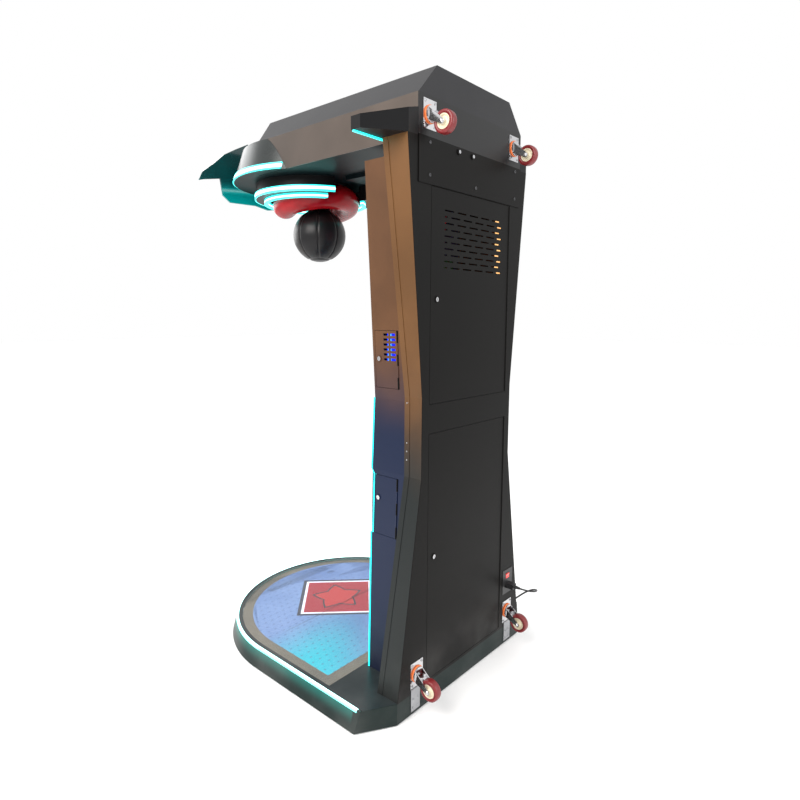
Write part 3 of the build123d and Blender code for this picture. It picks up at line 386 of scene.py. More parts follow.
border = brushed("border_metal", (0.30, 0.26, 0.20), 0.32)
zinc = brushed("zinc_plate", (0.52, 0.53, 0.55), 0.30, (20, 20, 20))
chrome = brushed("bright_zinc", (0.80, 0.80, 0.82), 0.13, (12, 12, 12))
ground_steel = brushed("ground_steel", (0.60, 0.60, 0.62), 0.22)
galvanised = brushed("galvanised_sheet", (0.45, 0.47, 0.48), 0.45, (8, 8, 8))
paint(border, "floor_trim")
paint(zinc, "joining_straps", "panel_screws")
paint(black_coat, "door_hinges")
paint(chrome, "upper_door_lock", "lower_door_lock", "service_door_lock", "cash_door_lock",
      "test_button_left", "test_button_right", "caster_mounts")
CORNERS = ("top_left", "top_right", "bottom_left", "bottom_right")
for corner in CORNERS:
    paint(chrome, "caster_fork_" + corner)
paint(ground_steel, "pivot_shaft", "coin_mechanism")
paint(galvanised, "cash_box", "power_supply")
print("badge centre at y =", round(BADGE_Y, 3))

# %% [markdown]
# ## Plastics and parts inside
#
# The pieces inside the tower are seen only when a door is open, but each still gets its own
# finish: a green board with traces, a black mesh, moulded plastic. The display shows a plain
# power gauge made of bars, with no writing.


# %% Plastics, board, speakers and display
def plastic(name, colour, rough=0.35, grain=0.00006):
    moulded = Finish(name)
    cloud = moulded.noise(14, 3)
    fine = moulded.noise(700, 2)
    lighter = tuple(min(1, c * 1.3 + 0.004) for c in colour)
    moulded.feed("Base Color", moulded.blend(cloud, colour, lighter))
    moulded.feed("Roughness", rough + (cloud - 0.5) * 0.15)
    moulded.bump(fine, grain, 0.5)
    return moulded


black_plastic = plastic("moulded_black", (0.012, 0.012, 0.013), 0.38)
foot_rubber = plastic("foot_rubber", (0.02, 0.02, 0.02), 0.75)
paint(black_plastic.material, "power_inlet", "inlet_plug", "wall_plug", "speakers")
paint(foot_rubber.material, "levelling_feet")

board = Finish("circuit_board", Roughness=0.4)
x, y, z = board.xyz()
trace = ((x / 0.006).maths("FRACT") - 0.5).maths("ABSOLUTE").ramp(0.12, 0.06)
trace = trace * board.noise(60, 2).ramp(0.45, 0.55)
board.feed("Base Color", board.blend(trace, (0.01, 0.13, 0.05), (0.35, 0.30, 0.08)))
board.bump(trace, 0.0001, 0.5)
paint(board.material, "control_board")

screen = Finish("display_picture", Roughness=0.12, Emission_Strength=0.9)
x, y, z = screen.xyz()
SCREEN_LOW, SCREEN_HIGH = (corner.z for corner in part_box("display_screen"))
up = (z - SCREEN_LOW) / (SCREEN_HIGH - SCREEN_LOW)
bar = ((up * 22).maths("FRACT") - 0.5).maths("ABSOLUTE").ramp(0.36, 0.30)
width = up * 0.09 + 0.05
inside = (width - abs(x)).ramp(0.0, 0.002) * up.window(0.14, 0.88, 0.004)
heat = screen.blend(up.ramp(0.2, 0.8), (0.0, 0.65, 0.70), (0.85, 0.05, 0.10))
ground = screen.blend(up, (0.01, 0.03, 0.08), (0.03, 0.02, 0.10))
shown = screen.blend(bar * inside, ground, heat)
facing = (y - (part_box("display_screen")[0].y + 0.0006)).ramp(0.0004, 0.0)
screen.feed("Base Color", shown)
screen.feed("Emission Color", screen.blend(facing, (0, 0, 0), shown))
paint(screen.material, "display_screen")

red_lens = Finish("lit_red_lens", Roughness=0.15, Emission_Strength=0.6, Coat_Weight=0.6)
cloud = red_lens.noise(30, 2)
lens_colour = red_lens.blend(cloud, (0.60, 0.01, 0.01), (0.85, 0.05, 0.03))
red_lens.feed("Base Color", lens_colour)
red_lens.feed("Emission Color", lens_colour)
paint(red_lens.material, "start_button", "rocker_switch")

sign_coat = Finish("sign_acrylic", Roughness=0.16, Coat_Weight=0.4, Emission_Strength=0.25)
x, y, z = sign_coat.xyz()
low_glow = z.ramp(2.02, 1.90)
sweep = sign_coat.noise(7, 4)
sign_colour = sign_coat.blend(low_glow * 0.7 + sweep * 0.10, (0.001, 0.018, 0.020), (0.0, 0.30, 0.30))
sign_coat.feed("Base Color", sign_colour)
sign_coat.feed("Emission Color", sign_colour)
spark = sign_coat.cells(55).ramp(0.10, 0.04) * sweep.ramp(0.5, 0.62)
sign_coat.feed("Roughness", 0.14 + spark * 0.3)
paint(sign_coat.material, "header_sign")
print("finishes so far:", len(bpy.data.materials))

# %% [markdown]
# ## Making new pieces
#
# Most round pieces are lathed: a profile of radius and height turned about an axis. `lathe`
# does that, closing the poles, and stands the result at its centre. `wear` gives it a finish
# and the body it rides on, in one call.


# %% Lathe, wear and islands
AXES = {"x": Matrix.Rotation(math.radians(90), 4, "Y"), "y": Matrix.Rotation(math.radians(90), 4, "X"),
        "z": Matrix.Identity(4)}


def new_object(name, mesh_builder, smooth=True):
    mesh = bpy.data.meshes.new(name)
    mesh_builder.to_mesh(mesh)
    mesh_builder.free()
    made = bpy.data.objects.new(name, mesh)
    bpy.context.scene.collection.objects.link(made)
    for face in mesh.polygons:
        face.use_smooth = smooth
    return made


def lathe(name, profile, centre, axis="z", segments=64):
    """Turn (radius, height) points, metres, about an axis through centre."""
    builder = bmesh.new()
    rings = []
    for radius, height in profile:
        if radius < 1e-6:
            rings.append([builder.verts.new((0, 0, height))])
            continue
        turns = [math.tau * i / segments for i in range(segments)]
        rings.append([builder.verts.new((radius * math.cos(t), radius * math.sin(t), height))
                      for t in turns])
    for low, high in zip(rings, rings[1:]):
        for i in range(segments):
            j = (i + 1) % segments
            corners = [low[i % len(low)], low[j % len(low)], high[j % len(high)], high[i % len(high)]]
            face = list(dict.fromkeys(corners))
            if len(face) > 2:
                builder.faces.new(face)
    bmesh.ops.recalc_face_normals(builder, faces=builder.faces)
    builder.transform(Matrix.Translation(centre) @ AXES[axis])
    return new_object(name, builder)


def wear(piece, material, slot, body, *replaced):
    piece.data.materials.clear()
    piece.data.materials.append(material)
    if replaced:
        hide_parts(*replaced)
    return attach(piece, body)


def islands(node):
    """Centre and half size of each separate solid in a CAD node."""
    copy = bmesh.new()
    copy.from_mesh(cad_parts[node].data)
    bmesh.ops.remove_doubles(copy, verts=copy.verts, dist=1e-6)
    found = []
    unseen = set(copy.verts)
    while unseen:
        stack = [unseen.pop()]
        group = list(stack)
        while stack:
            for edge in stack.pop().link_edges:
                for vert in edge.verts:
                    if vert in unseen:
                        unseen.discard(vert)
                        stack.append(vert)
                        group.append(vert)
        points = np.array([v.co for v in group])
        found.append((Vector((points.min(0) + points.max(0)) / 2),
                      Vector((points.max(0) - points.min(0)) / 2)))
    copy.free()
    return found


print("screws in CAD:", len(islands("panel_screws")))

# %% [markdown]
# ## Screws
#
# The screws are button heads with a hex socket. One head is modelled, and Geometry Nodes put a
# copy on every point of a small point cloud. The points are read from the CAD screws, so the
# heads stay where the sheet metal has its holes. The trim strips get a row of small ones of
# their own, down the seam.


# %% One screw head, scattered by Geometry Nodes
def screw_head(name, radius, height):
    """A low dome with a hexagonal socket, standing on the XY plane."""
    builder = bmesh.new()
    steps = [(radius, 0.0), (radius, height * 0.35), (radius * 0.86, height * 0.72),
             (radius * 0.60, height * 0.96), (radius * 0.46, height)]
    rings = []
    for ring_radius, ring_height in steps:
        rings.append([builder.verts.new((ring_radius * math.cos(math.tau * i / 24),
                                         ring_radius * math.sin(math.tau * i / 24), ring_height))
                      for i in range(24)])
    socket_radius = radius * 0.40
    for depth in (height, height * 0.35):
        corners = []
        for i in range(24):
            turn = math.tau * i / 24
            flat = math.cos(math.pi / 6) / math.cos((turn % (math.pi / 3)) - math.pi / 6)
            corners.append(builder.verts.new((socket_radius * flat * math.cos(turn),
                                              socket_radius * flat * math.sin(turn), depth)))
        rings.append(corners)
    for low, high in zip(rings, rings[1:]):
        for i in range(24):
            j = (i + 1) % 24
            builder.faces.new((low[i], low[j], high[j], high[i]))
    builder.faces.new(rings[-1])
    builder.faces.new(list(reversed(rings[0])))
    bmesh.ops.recalc_face_normals(builder, faces=builder.faces)
    return new_object(name, builder, smooth=False)


class Tree:
    """A Geometry Nodes tree with one method for nodes and one for its named inputs."""

    def __init__(self, name):
        self.group = bpy.data.node_groups.new(name, "GeometryNodeTree")
        self.entry = self.group.nodes.new("NodeGroupInput")
        self.exit = self.group.nodes.new("NodeGroupOutput")
        self.ask("Geometry", "NodeSocketGeometry")
        self.group.interface.new_socket("Geometry", in_out="OUTPUT", socket_type="NodeSocketGeometry")

    def ask(self, name, kind, value=None):
        socket = self.group.interface.new_socket(name, in_out="INPUT", socket_type=kind)
        if value is not None:
            socket.default_value = value
        return socket.identifier

    def node(self, kind, inputs=None, **settings):
        made = self.group.nodes.new(kind)
        for key, value in settings.items():
            setattr(made, key, value)
        for socket, value in (inputs or {}).items():
            if isinstance(value, bpy.types.NodeSocket):
                self.group.links.new(value, made.inputs[socket])
            else:
                made.inputs[socket].default_value = value
        return made

    def finish(self, geometry):
        self.group.links.new(geometry, self.exit.inputs[0])
        return self.group


def scatter_tree():
    tree = Tree("scatter_on_points")
    ids = {"Piece": tree.ask("Piece", "NodeSocketObject"),
           "Turn": tree.ask("Turn", "NodeSocketRotation"),
           "Spin": tree.ask("Spin", "NodeSocketFloat", 1.0),
           "Finish": tree.ask("Finish", "NodeSocketMaterial")}
    source = tree.entry.outputs
    shape = tree.node("GeometryNodeObjectInfo", {"Object": source["Piece"]})
    spin = tree.node("FunctionNodeRandomValue", {"Seed": 7}, data_type="FLOAT")
    tree.group.links.new(source["Spin"], spin.inputs[3])
    turn = tree.node("ShaderNodeCombineXYZ", {2: spin.outputs[1]})
    own = tree.node("FunctionNodeEulerToRotation", {0: turn.outputs[0]})
    both = tree.node("FunctionNodeRotateRotation", {0: own.outputs[0], 1: source["Turn"]})
    copies = tree.node("GeometryNodeInstanceOnPoints", {"Points": source["Geometry"],
                                                        "Instance": shape.outputs["Geometry"],
                                                        "Rotation": both.outputs[0]})
    real = tree.node("GeometryNodeRealizeInstances", {0: copies.outputs[0]})
    painted = tree.node("GeometryNodeSetMaterial", {"Geometry": real.outputs[0],
                                                    "Material": source["Finish"]})
    return tree.finish(painted.outputs[0]), ids


scatter, scatter_ids = scatter_tree()


def scattered(name, points, piece, turn, finish, spin=6.28):
    """A plain mesh with a copy of a piece on every point."""
    cloud = bpy.data.meshes.new(name + "_points")
    cloud.from_pydata([tuple(p) for p in points], [], [])
    holder = bpy.data.objects.new(name + "_points", cloud)
    bpy.context.scene.collection.objects.link(holder)
    modifier = holder.modifiers.new("scatter", "NODES")
    modifier.node_group = scatter
    modifier[scatter_ids["Piece"]] = piece
    modifier[scatter_ids["Turn"]] = turn
    modifier[scatter_ids["Spin"]] = spin
    modifier[scatter_ids["Finish"]] = finish
    ready = holder.evaluated_get(bpy.context.evaluated_depsgraph_get())
    mesh = bpy.data.meshes.new_from_object(ready)
    mesh.name = name
    made = bpy.data.objects.new(name, mesh)
    bpy.context.scene.collection.objects.link(made)
    bpy.data.objects.remove(holder)
    return made


def remove(*pieces):
    for piece in pieces:
        bpy.data.objects.remove(piece)


TO_BACK = (math.radians(-90), 0, 0)
found = islands("panel_screws")
large = [(c, h) for c, h in found if h.x > 0.0055]
small = [(c, h) for c, h in found if h.x <= 0.0055]
heads = []
for label, group in (("large", large), ("small", small)):
    radius = group[0][1].x
    height = group[0][1].y * 2
    head = screw_head("screw_head_" + label, radius, height)
    points = [Vector((c.x, c.y - h.y, c.z)) for c, h in group]
    heads.append(scattered("screws_" + label, points, head, TO_BACK, zinc))
    remove(head)
dark_screw = brushed("dark_screw", (0.10, 0.10, 0.105), 0.35, (15, 15, 15))
wear(heads[0], dark_screw, "screw_zinc", "cabinet", "panel_screws")
wear(heads[1], zinc, "screw_zinc", "cabinet")
print("screw heads:", len(large), "large,", len(small), "small")

# %% [markdown]
# ## The ball
#
# The ball is leather over foam: eight long panels meet at a round cap underneath, and every seam
# pulls in a little. A sphere whose radius drops near each seam gives that, and small stitches
# run along both sides of the seams. The neck above it is a turned cone that grips the arm.

# %% Ball, neck and stitches
ball_low, ball_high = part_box("punch_ball")
BALL_R = (ball_high.x - ball_low.x) / 2
BALL = Vector((0, (ball_low.y + ball_high.y) / 2, ball_low.z + BALL_R))
PANELS = 8
CAP_ANGLE = math.radians(24)
SEAM_WIDTH = 0.0045
SEAM_DEPTH = 0.0026


def seam_dip(turn, polar):
    """How far the leather is pulled in at this place."""
    panel = math.tau / PANELS
    off = abs((turn + panel / 2) % panel - panel / 2) * math.sin(polar) * BALL_R
    cap = abs(polar - CAP_ANGLE) * BALL_R
    side = math.exp(-(off / SEAM_WIDTH) ** 2) if polar > CAP_ANGLE else 0
    return SEAM_DEPTH * max(side, math.exp(-(cap / SEAM_WIDTH) ** 2))


def ball_point(turn, polar, lift=0.0):
    """Polar is measured from the bottom of the ball."""
    radius = BALL_R - 0.0004 - seam_dip(turn, polar) + lift
    flat = radius * math.sin(polar)
    return BALL + Vector((flat * math.cos(turn), flat * math.sin(turn), -radius * math.cos(polar)))


def build_ball(around=240, up=120):
    """The leather shell, closed by a shallow cone under the neck."""
    builder = bmesh.new()
    bottom = builder.verts.new(ball_point(0, 0))
    rings = []
    for j in range(1, up):
        polar = math.radians(158) * j / (up - 1)
        rings.append([builder.verts.new(ball_point(math.tau * i / around, polar)) for i in range(around)])
    top = builder.verts.new(BALL + Vector((0, 0, BALL_R * 0.90)))
    for i in range(around):
        j = (i + 1) % around
        builder.faces.new((bottom, rings[0][i], rings[0][j]))
        builder.faces.new((top, rings[-1][j], rings[-1][i]))
        for low, high in zip(rings, rings[1:]):
            builder.faces.new((low[i], high[i], high[j], low[j]))
    bmesh.ops.recalc_face_normals(builder, faces=builder.faces)
    return new_object("leather_ball", builder)


leather = Finish("dark_leather", Roughness=0.4, Coat_Weight=0.08, Coat_Roughness=0.3, Specular_IOR_Level=0.22)
grain = leather.cells(260, feature="SMOOTH_F1")
folds = leather.noise(18, 4)
fine = leather.noise(600, 2)
scuff = leather.noise(9, 5).ramp(0.56, 0.72)
hide = leather.blend(folds, (0.004, 0.004, 0.005), (0.012, 0.011, 0.012))
leather.feed("Base Color", leather.blend(scuff * 0.5, hide, (0.035, 0.030, 0.026)))
leather.feed("Roughness", 0.34 + scuff * 0.2 + (fine - 0.5) * 0.12)
leather.bump(grain * 0.7 + folds * 0.5 + fine * 0.1, 0.0005, 0.55)
wear(build_ball(), leather.material, "dark_leather", "punch_arm", "punch_ball")

NECK = [(0.0150, 0.205), (0.0290, 0.204), (0.0300, 0.200), (0.0270, 0.190), (0.0285, 0.170),
        (0.0340, 0.150), (0.0430, 0.130), (0.0530, 0.117), (0.0600, 0.110), (0.0612, 0.103), (0.0400, 0.095)]
neck_top = ball_high.z - BALL.z
neck_shape = [(r, min(h, neck_top) if h > 0.2 else h * neck_top / 0.205) for r, h in NECK]
neck = lathe("ball_neck", neck_shape + [(0.0145, 0.1), neck_shape[0]], BALL, segments=72)
rubber = plastic("black_rubber", (0.006, 0.006, 0.0065), 0.5)
wear(neck, rubber.material, "dark_leather", "punch_arm")


def one_stitch(name, thick, length):
    """A small bead along Y, given as half sizes."""
    bead = bmesh.new()
    bmesh.ops.create_uvsphere(bead, u_segments=6, v_segments=4, radius=1.0)
    bead.transform(Matrix.Diagonal((thick, length, thick, 1)))
    return new_object(name, bead)


def along_line(points):
    """A matrix half way along each step of a line, with its Y along the step."""
    spots = []
    for here, after in zip(points, points[1:]):
        turn = (after - here).to_track_quat("Y", "Z").to_matrix().to_4x4()
        spots.append(Matrix.Translation((here + after) / 2) @ turn)
    return spots


stitch_piece = one_stitch("stitch", 0.0006, 0.0022)
thread = Finish("waxed_thread", Roughness=0.6)
thread.feed("Base Color", thread.blend(thread.noise(300, 2), (0.03, 0.03, 0.03), (0.07, 0.068, 0.065)))
thread.bump(thread.noise(900, 1), 0.0001, 0.6)
STITCH_OFF = 0.0062         # from the seam to each row of stitches
stitches = []
for panel in range(PANELS):
    for side in (-1, 1):
        points = []
        for step in range(46):
            polar = CAP_ANGLE + 0.05 + step * 0.043
            turn = math.tau * panel / PANELS + side * STITCH_OFF / (BALL_R * math.sin(polar))
            points.append(ball_point(turn, polar, 0.0001))
        stitches.extend(along_line(points))
print("ball radius", round(BALL_R, 4), "with", len(stitches), "stitches")


def stamped(name, piece, matrices):
    """One mesh with a copy of a small piece at every matrix."""
    base = np.array([v.co for v in piece.data.vertices])
    faces = [tuple(f.vertices) for f in piece.data.polygons]
    verts = []
    all_faces = []
    for number, matrix in enumerate(matrices):
        spot = np.array(matrix)
        verts.append(base @ spot[:3, :3].T + spot[:3, 3])
        all_faces.extend(tuple(i + number * len(base) for i in f) for f in faces)
    mesh = bpy.data.meshes.new(name)
    mesh.from_pydata(np.concatenate(verts).tolist(), [], all_faces)
    made = bpy.data.objects.new(name, mesh)
    bpy.context.scene.collection.objects.link(made)
    return made


thread_rows = stamped("ball_stitches", stitch_piece, stitches)
wear(thread_rows, thread.material, "dark_leather", "punch_arm")

# %% [markdown]
# ## The bumper cushion
#
# A fat red vinyl horseshoe hangs round the neck and stops the ball. It is a tube along three
# fifths of a circle, closed towards the tower, with full round ends at the front. The vinyl is
# stretched over foam, so the tube is uneven along its length, two seams pull it in, and small
# creases run across the inner side of the bend. The shape is written as a formula.

# %% Cushion
pad_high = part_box("bumper_cushion")[1]
PAD_TUBE = 0.055
PAD_RING = pad_high.x - PAD_TUBE
PAD_TILT = math.radians(10)
PAD_SPAN = math.radians(112)
PAD_SEAMS = (0.9, -2.5)     # where the seams run, as angles round the tube
PAD_CENTRE = Vector((0, BALL.y - 0.020, (pad_high.z - PAD_TUBE) - PAD_RING * math.sin(PAD_TILT)))


def pad_point(along, round_turn):
    """Along runs from -1 to 1, end to end; round_turn goes round the tube, 0 at the outside."""
    end = math.asin(PAD_TUBE / PAD_RING) / PAD_SPAN
    turn = along * PAD_SPAN * (1 + end)
    past = max(0.0, abs(turn) - PAD_SPAN) / (PAD_SPAN * end)
    tube = (PAD_TUBE - 0.0012) * math.sqrt(max(0.0, 1 - min(1.0, past) ** 2))
    inner = max(0.0, -math.cos(round_turn))
    crease = 0.0016 * inner * math.sin(turn * 34) * (0.4 + 0.6 * math.sin(turn * 5 + 1) ** 2)
    bulge = -0.0020 * (1 - math.cos(turn * 6)) * 0.5
    seam = 0.0
    for place in PAD_SEAMS:
        if math.cos(round_turn - place) > 0:
            seam -= 0.0030 * math.exp(-(math.sin(round_turn - place) / 0.07) ** 2)
    tube = tube + (crease + bulge + seam) * (tube / PAD_TUBE)
    out = PAD_RING + tube * math.cos(round_turn)
    high = tube * math.sin(round_turn) * (1.0 if math.sin(round_turn) > 0 else 1.01)
    flat = Vector((out * math.sin(turn), out * math.cos(turn), high))
    return PAD_CENTRE + Matrix.Rotation(PAD_TILT, 3, "X") @ flat


def build_pad(long=220, around=72):
    builder = bmesh.new()
    rings = []
    for i in range(1, long):
        share = -math.cos(math.pi * i / long)
        along = 0.55 * share + 0.45 * (2 * i / long - 1)
        rings.append([builder.verts.new(pad_point(along, math.tau * k / around)) for k in range(around)])
    first = builder.verts.new(pad_point(-1, 0))
    last = builder.verts.new(pad_point(1, 0))
    for k in range(around):
        j = (k + 1) % around
        builder.faces.new((first, rings[0][j], rings[0][k]))
        builder.faces.new((last, rings[-1][k], rings[-1][j]))
        for low, high in zip(rings, rings[1:]):
            builder.faces.new((low[k], low[j], high[j], high[k]))
    bmesh.ops.recalc_face_normals(builder, faces=builder.faces)
    return new_object("red_cushion", builder)


vinyl = Finish("red_vinyl", Roughness=0.3, Coat_Weight=0.16, Coat_Roughness=0.05, Specular_IOR_Level=0.18)
pores = vinyl.cells(420, feature="SMOOTH_F1")
soft = vinyl.noise(12, 4)
vinyl.feed("Base Color", vinyl.blend(soft.ramp(0.3, 0.7), (0.22, 0.003, 0.006), (0.36, 0.006, 0.010)))
vinyl.feed("Roughness", 0.17 + soft * 0.16)
vinyl.bump(pores * 0.5 + soft * 0.7, 0.0004, 0.4)
cushion = wear(build_pad(), vinyl.material, "red_vinyl", "cabinet", "bumper_cushion")
pad_stitch = one_stitch("pad_stitch", 0.0007, 0.0024)
pad_rows = []
for seam_turn in PAD_SEAMS:
    for offset in (-0.10, 0.10):
        line = [pad_point(-0.86 + 1.72 * i / 120, seam_turn + offset) for i in range(121)]
        pad_rows.extend(along_line(line))
pad_thread = Finish("red_thread", Roughness=0.5)
pad_fibre = pad_thread.noise(300, 2)
pad_thread.feed("Base Color", pad_thread.blend(pad_fibre, (0.25, 0.01, 0.015), (0.40, 0.02, 0.03)))
wear(stamped("cushion_stitches", pad_stitch, pad_rows), pad_thread.material, "red_vinyl", "cabinet")
remove(stitch_piece, pad_stitch)
print("cushion ring radius", round(PAD_RING, 3), "centre height", round(PAD_CENTRE.z, 3))

# %% [markdown]
# ## Casters
#
# A caster is a top plate, a ball race with its orange dust ring, a pressed fork and a wheel with
# a dark red tread on a cream hub. Fork and plate come from CAD and get bright zinc. The wheels
# are lathed again here, because the real tread has rounded shoulders and the hub is recessed.

# %% Wheels, hubs and dust rings
tread = plastic("wheel_tread", (0.16, 0.012, 0.014), 0.32, 0.0001)
cream = plastic("wheel_hub", (0.62, 0.55, 0.40), 0.4)
orange = plastic("race_ring", (0.75, 0.16, 0.03), 0.38)
TREAD = [(0.0245, -0.0130), (0.0330, -0.0132), (0.0362, -0.0118), (0.0372, -0.0085),
         (0.0375, -0.0030), (0.0375, 0.0030), (0.0372, 0.0085), (0.0362, 0.0118),
         (0.0330, 0.0132), (0.0245, 0.0130), (0.0245, -0.0130)]
HUB = [(0.0046, -0.0150), (0.0085, -0.0154), (0.0090, -0.0145), (0.0095, -0.0100), (0.0190, -0.0085),
       (0.0205, -0.0120), (0.0240, -0.0126), (0.0244, -0.0110), (0.0244, 0.0110), (0.0240, 0.0126),
       (0.0205, 0.0120), (0.0190, 0.0085), (0.0095, 0.0100), (0.0090, 0.0145), (0.0085, 0.0154),
       (0.0046, 0.0150), (0.0046, -0.0150)]
CAP_NUT = [(0.0, 0.0052), (0.0030, 0.0048), (0.0052, 0.0030), (0.0058, 0.0), (0.0072, 0.0), (0.0072, -0.0012),
           (0.0, -0.0012)]
DUST_RING = [(0.0272, 0.0), (0.0288, -0.0005), (0.0295, -0.0025), (0.0288, -0.0050), (0.0272, -0.0056),
             (0.0272, 0.0)]
NUT_SEAT = 0.0217           # from the wheel's middle to the outside of a fork leg
for corner in CORNERS:
    wheel_low, wheel_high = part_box("caster_wheel_" + corner)
    middle = (wheel_low + wheel_high) / 2
    body = "caster_wheel_" + corner
    wear(lathe("tread_" + corner, TREAD, middle, "x"), tread.material, "wheel_red", body, body)
    wear(lathe("hub_" + corner, HUB, middle, "x"), cream.material, "wheel_red", body)
    for side, name in ((-1, "a"), (1, "b")):
        nut_at = Vector((middle.x + side * NUT_SEAT, middle.y, middle.z))
        flip = [(r, h * side) for r, h in CAP_NUT]
        wear(lathe("axle_nut_" + corner + "_" + name, flip, nut_at, "x", 24), chrome, "fork_chrome",
             "caster_fork_" + corner)
    mount_centre = Vector((middle.x, REAR + 0.003, middle.z + 0.035))
    wear(lathe("dust_ring_" + corner, DUST_RING, mount_centre, "y", 48), orange.material,
         "fork_chrome", "cabinet")
print("casters dressed:", len(CORNERS))

# %% [markdown]
# ## Lights behind the slots
#
# Two groups of slots glow. Behind the small side door sits a blue status panel, and behind the
# last column of vents in the upper door a warm lamp. Each is a thin lit plate just inside the
# sheet metal, so that the slots themselves shape the light.


# %% Lit plates and edge lights
def rounded_box(name, low, high, radius=0.001):
    """A box between two corners with rounded edges."""
    builder = bmesh.new()
    bmesh.ops.create_cube(builder, size=1.0)
    low = Vector(low)
    high = Vector(high)
    size = high - low
    builder.transform(Matrix.Translation((low + high) / 2) @ Matrix.Diagonal((*size, 1)))
    bmesh.ops.bevel(builder, geom=builder.edges[:], offset=radius, segments=3, profile=0.5, affect="EDGES")
    bmesh.ops.recalc_face_normals(builder, faces=builder.faces)
    return new_object(name, builder, smooth=False)


door_low, door_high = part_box("service_door")
blue = Finish("blue_status_light", Roughness=0.4, Emission_Strength=1.6)
x, y, z = blue.xyz()
bright = (((z - door_high.z) / 0.0176).maths("FRACT") - 0.5).maths("ABSOLUTE").ramp(0.10, 0.3)
column = abs(y - back(182)).ramp(0.012, 0.004) + abs(y - back(140)).ramp(0.012, 0.004)
glow = blue.blend(bright * column, (0.0, 0.01, 0.75), (0.06, 0.40, 1.0))
blue.feed("Base Color", glow)
blue.feed("Emission Color", glow)
plate = rounded_box("blue_status_panel", (door_low.x - 0.010, back(196), door_high.z - 0.114),
                    (door_low.x - 0.006, back(130), door_high.z - 0.003))
wear(plate, blue.material, "led_diffuser", "cabinet")

warm = Finish("warm_vent_light", Roughness=0.4, Emission_Strength=1.5)
warm_colour = warm.blend(warm.noise(25, 2), (1.0, 0.42, 0.10), (1.0, 0.66, 0.30))
warm.feed("Base Color", warm_colour)
warm.feed("Emission Color", warm_colour)
lamp = rounded_box("warm_vent_lamp", (-0.232, back(33), 1.548), (-0.196, back(29), 1.768))
wear(lamp, warm.material, "led_diffuser", "cabinet")

edge_light = Finish("edge_diffuser", Roughness=0.35, Emission_Strength=2.2)
mixed = edge_light.blend(edge_light.noise(40, 2), (0.0, 0.62, 0.66), (0.02, 0.85, 0.85))
edge_light.feed("Base Color", mixed)
edge_light.feed("Emission Color", mixed)
shell = np.array([v.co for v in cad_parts["display_housing"].data.vertices])
front_line = {}
for vx, vy, vz in shell:
    key = round(float(vz), 3)
    if vx > 0.2 and (key not in front_line or vy < front_line[key][1] - 1e-4):
        front_line[key] = (float(vx), float(vy))
corner_line = []
for key in sorted(front_line):
    vx, vy = front_line[key]
    if vy < back(215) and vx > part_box("display_housing")[1].x * 0.84 and key < 1.12:
        corner_line.append(Vector((vx, vy, key)))
for side, name in ((1, "left"), (-1, "right")):
    builder = bmesh.new()
    loops = []
    for spot in corner_line:
        around = [(0, 0), (-0.010, 0), (-0.010, -0.004), (0.0, -0.004)]
        loops.append([builder.verts.new((side * (spot.x + dx + 0.001), spot.y + dy - 0.002, spot.z))
                      for dx, dy in around])
    for low, high in zip(loops, loops[1:]):
        for i in range(4):
            j = (i + 1) % 4
            builder.faces.new((low[i], low[j], high[j], high[i]))
    builder.faces.new(loops[0])
    builder.faces.new(loops[-1])
    bmesh.ops.recalc_face_normals(builder, faces=builder.faces)
    strip = new_object("front_edge_light_" + name, builder, smooth=False)
    wear(strip, edge_light.material, "led_diffuser", "cabinet")
print("edge light corners:", [tuple(round(v, 3) for v in p) for p in corner_line])

# %% [markdown]
# ## Trim-strip screws
#
# Down the front edge of each pillar runs a narrow strip held by small countersunk screws. They
# follow the strip's own edge, so the points are worked out from the CAD pillar, and the same
# Geometry Nodes tree puts a head on each.

# %% Trim-strip screws
pillar_points = np.array([v.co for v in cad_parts["pillars"].data.vertices])
outer = {}
for vx, _, vz in pillar_points:
    key = round(float(vz), 2)
    outer[key] = max(outer.get(key, 0.0), float(vx))
levels = [level for level in sorted(outer) if outer[level] > 0.27]
strip_heights = [0.16, 0.32, 0.48, 0.64, 0.90, 0.93, 0.96, 1.10, 1.30, 1.52, 1.74, 1.93]


def strip_spot(height, side):
    """Point on the trim strip's face at this height."""
    low = max(k for k in levels if k <= height)
    high = min(k for k in levels if k >= height)
    share = 0 if high == low else (height - low) / (high - low)
    half_width = outer[low] + (outer[high] - outer[low]) * share
    depth = [min(p[1] for p in pillar_points if abs(p[2] - level) < 0.006 and abs(p[0]) > 0.25)
             for level in (low, high)]
    return Vector((side * half_width, depth[0] + (depth[1] - depth[0]) * share + 0.011, height))


for side, name in ((1, "left"), (-1, "right")):
    small_head = screw_head("trim_screw_head", 0.0024, 0.0010)
    points = [strip_spot(h, side) for h in strip_heights]
    row = scattered("trim_screws_" + name, points, small_head, (0, math.radians(90) * side, 0), zinc)
    remove(small_head)
    wear(row, zinc, "screw_zinc", "cabinet")
print("trim screws a side:", len(strip_heights))

# %% [markdown]
# ## Mains lead
#
# The lead leaves the inlet backwards, hooks round the tower's edge, runs down behind it and
# crosses the platform's rear corner to the floor. The rest of its 1.8 m is wound into a coil
# beside the platform: two turns inwards, up a layer, and two turns outwards. A NURBS spline
# through these control points bends smoothly, where straight runs would look like wire.

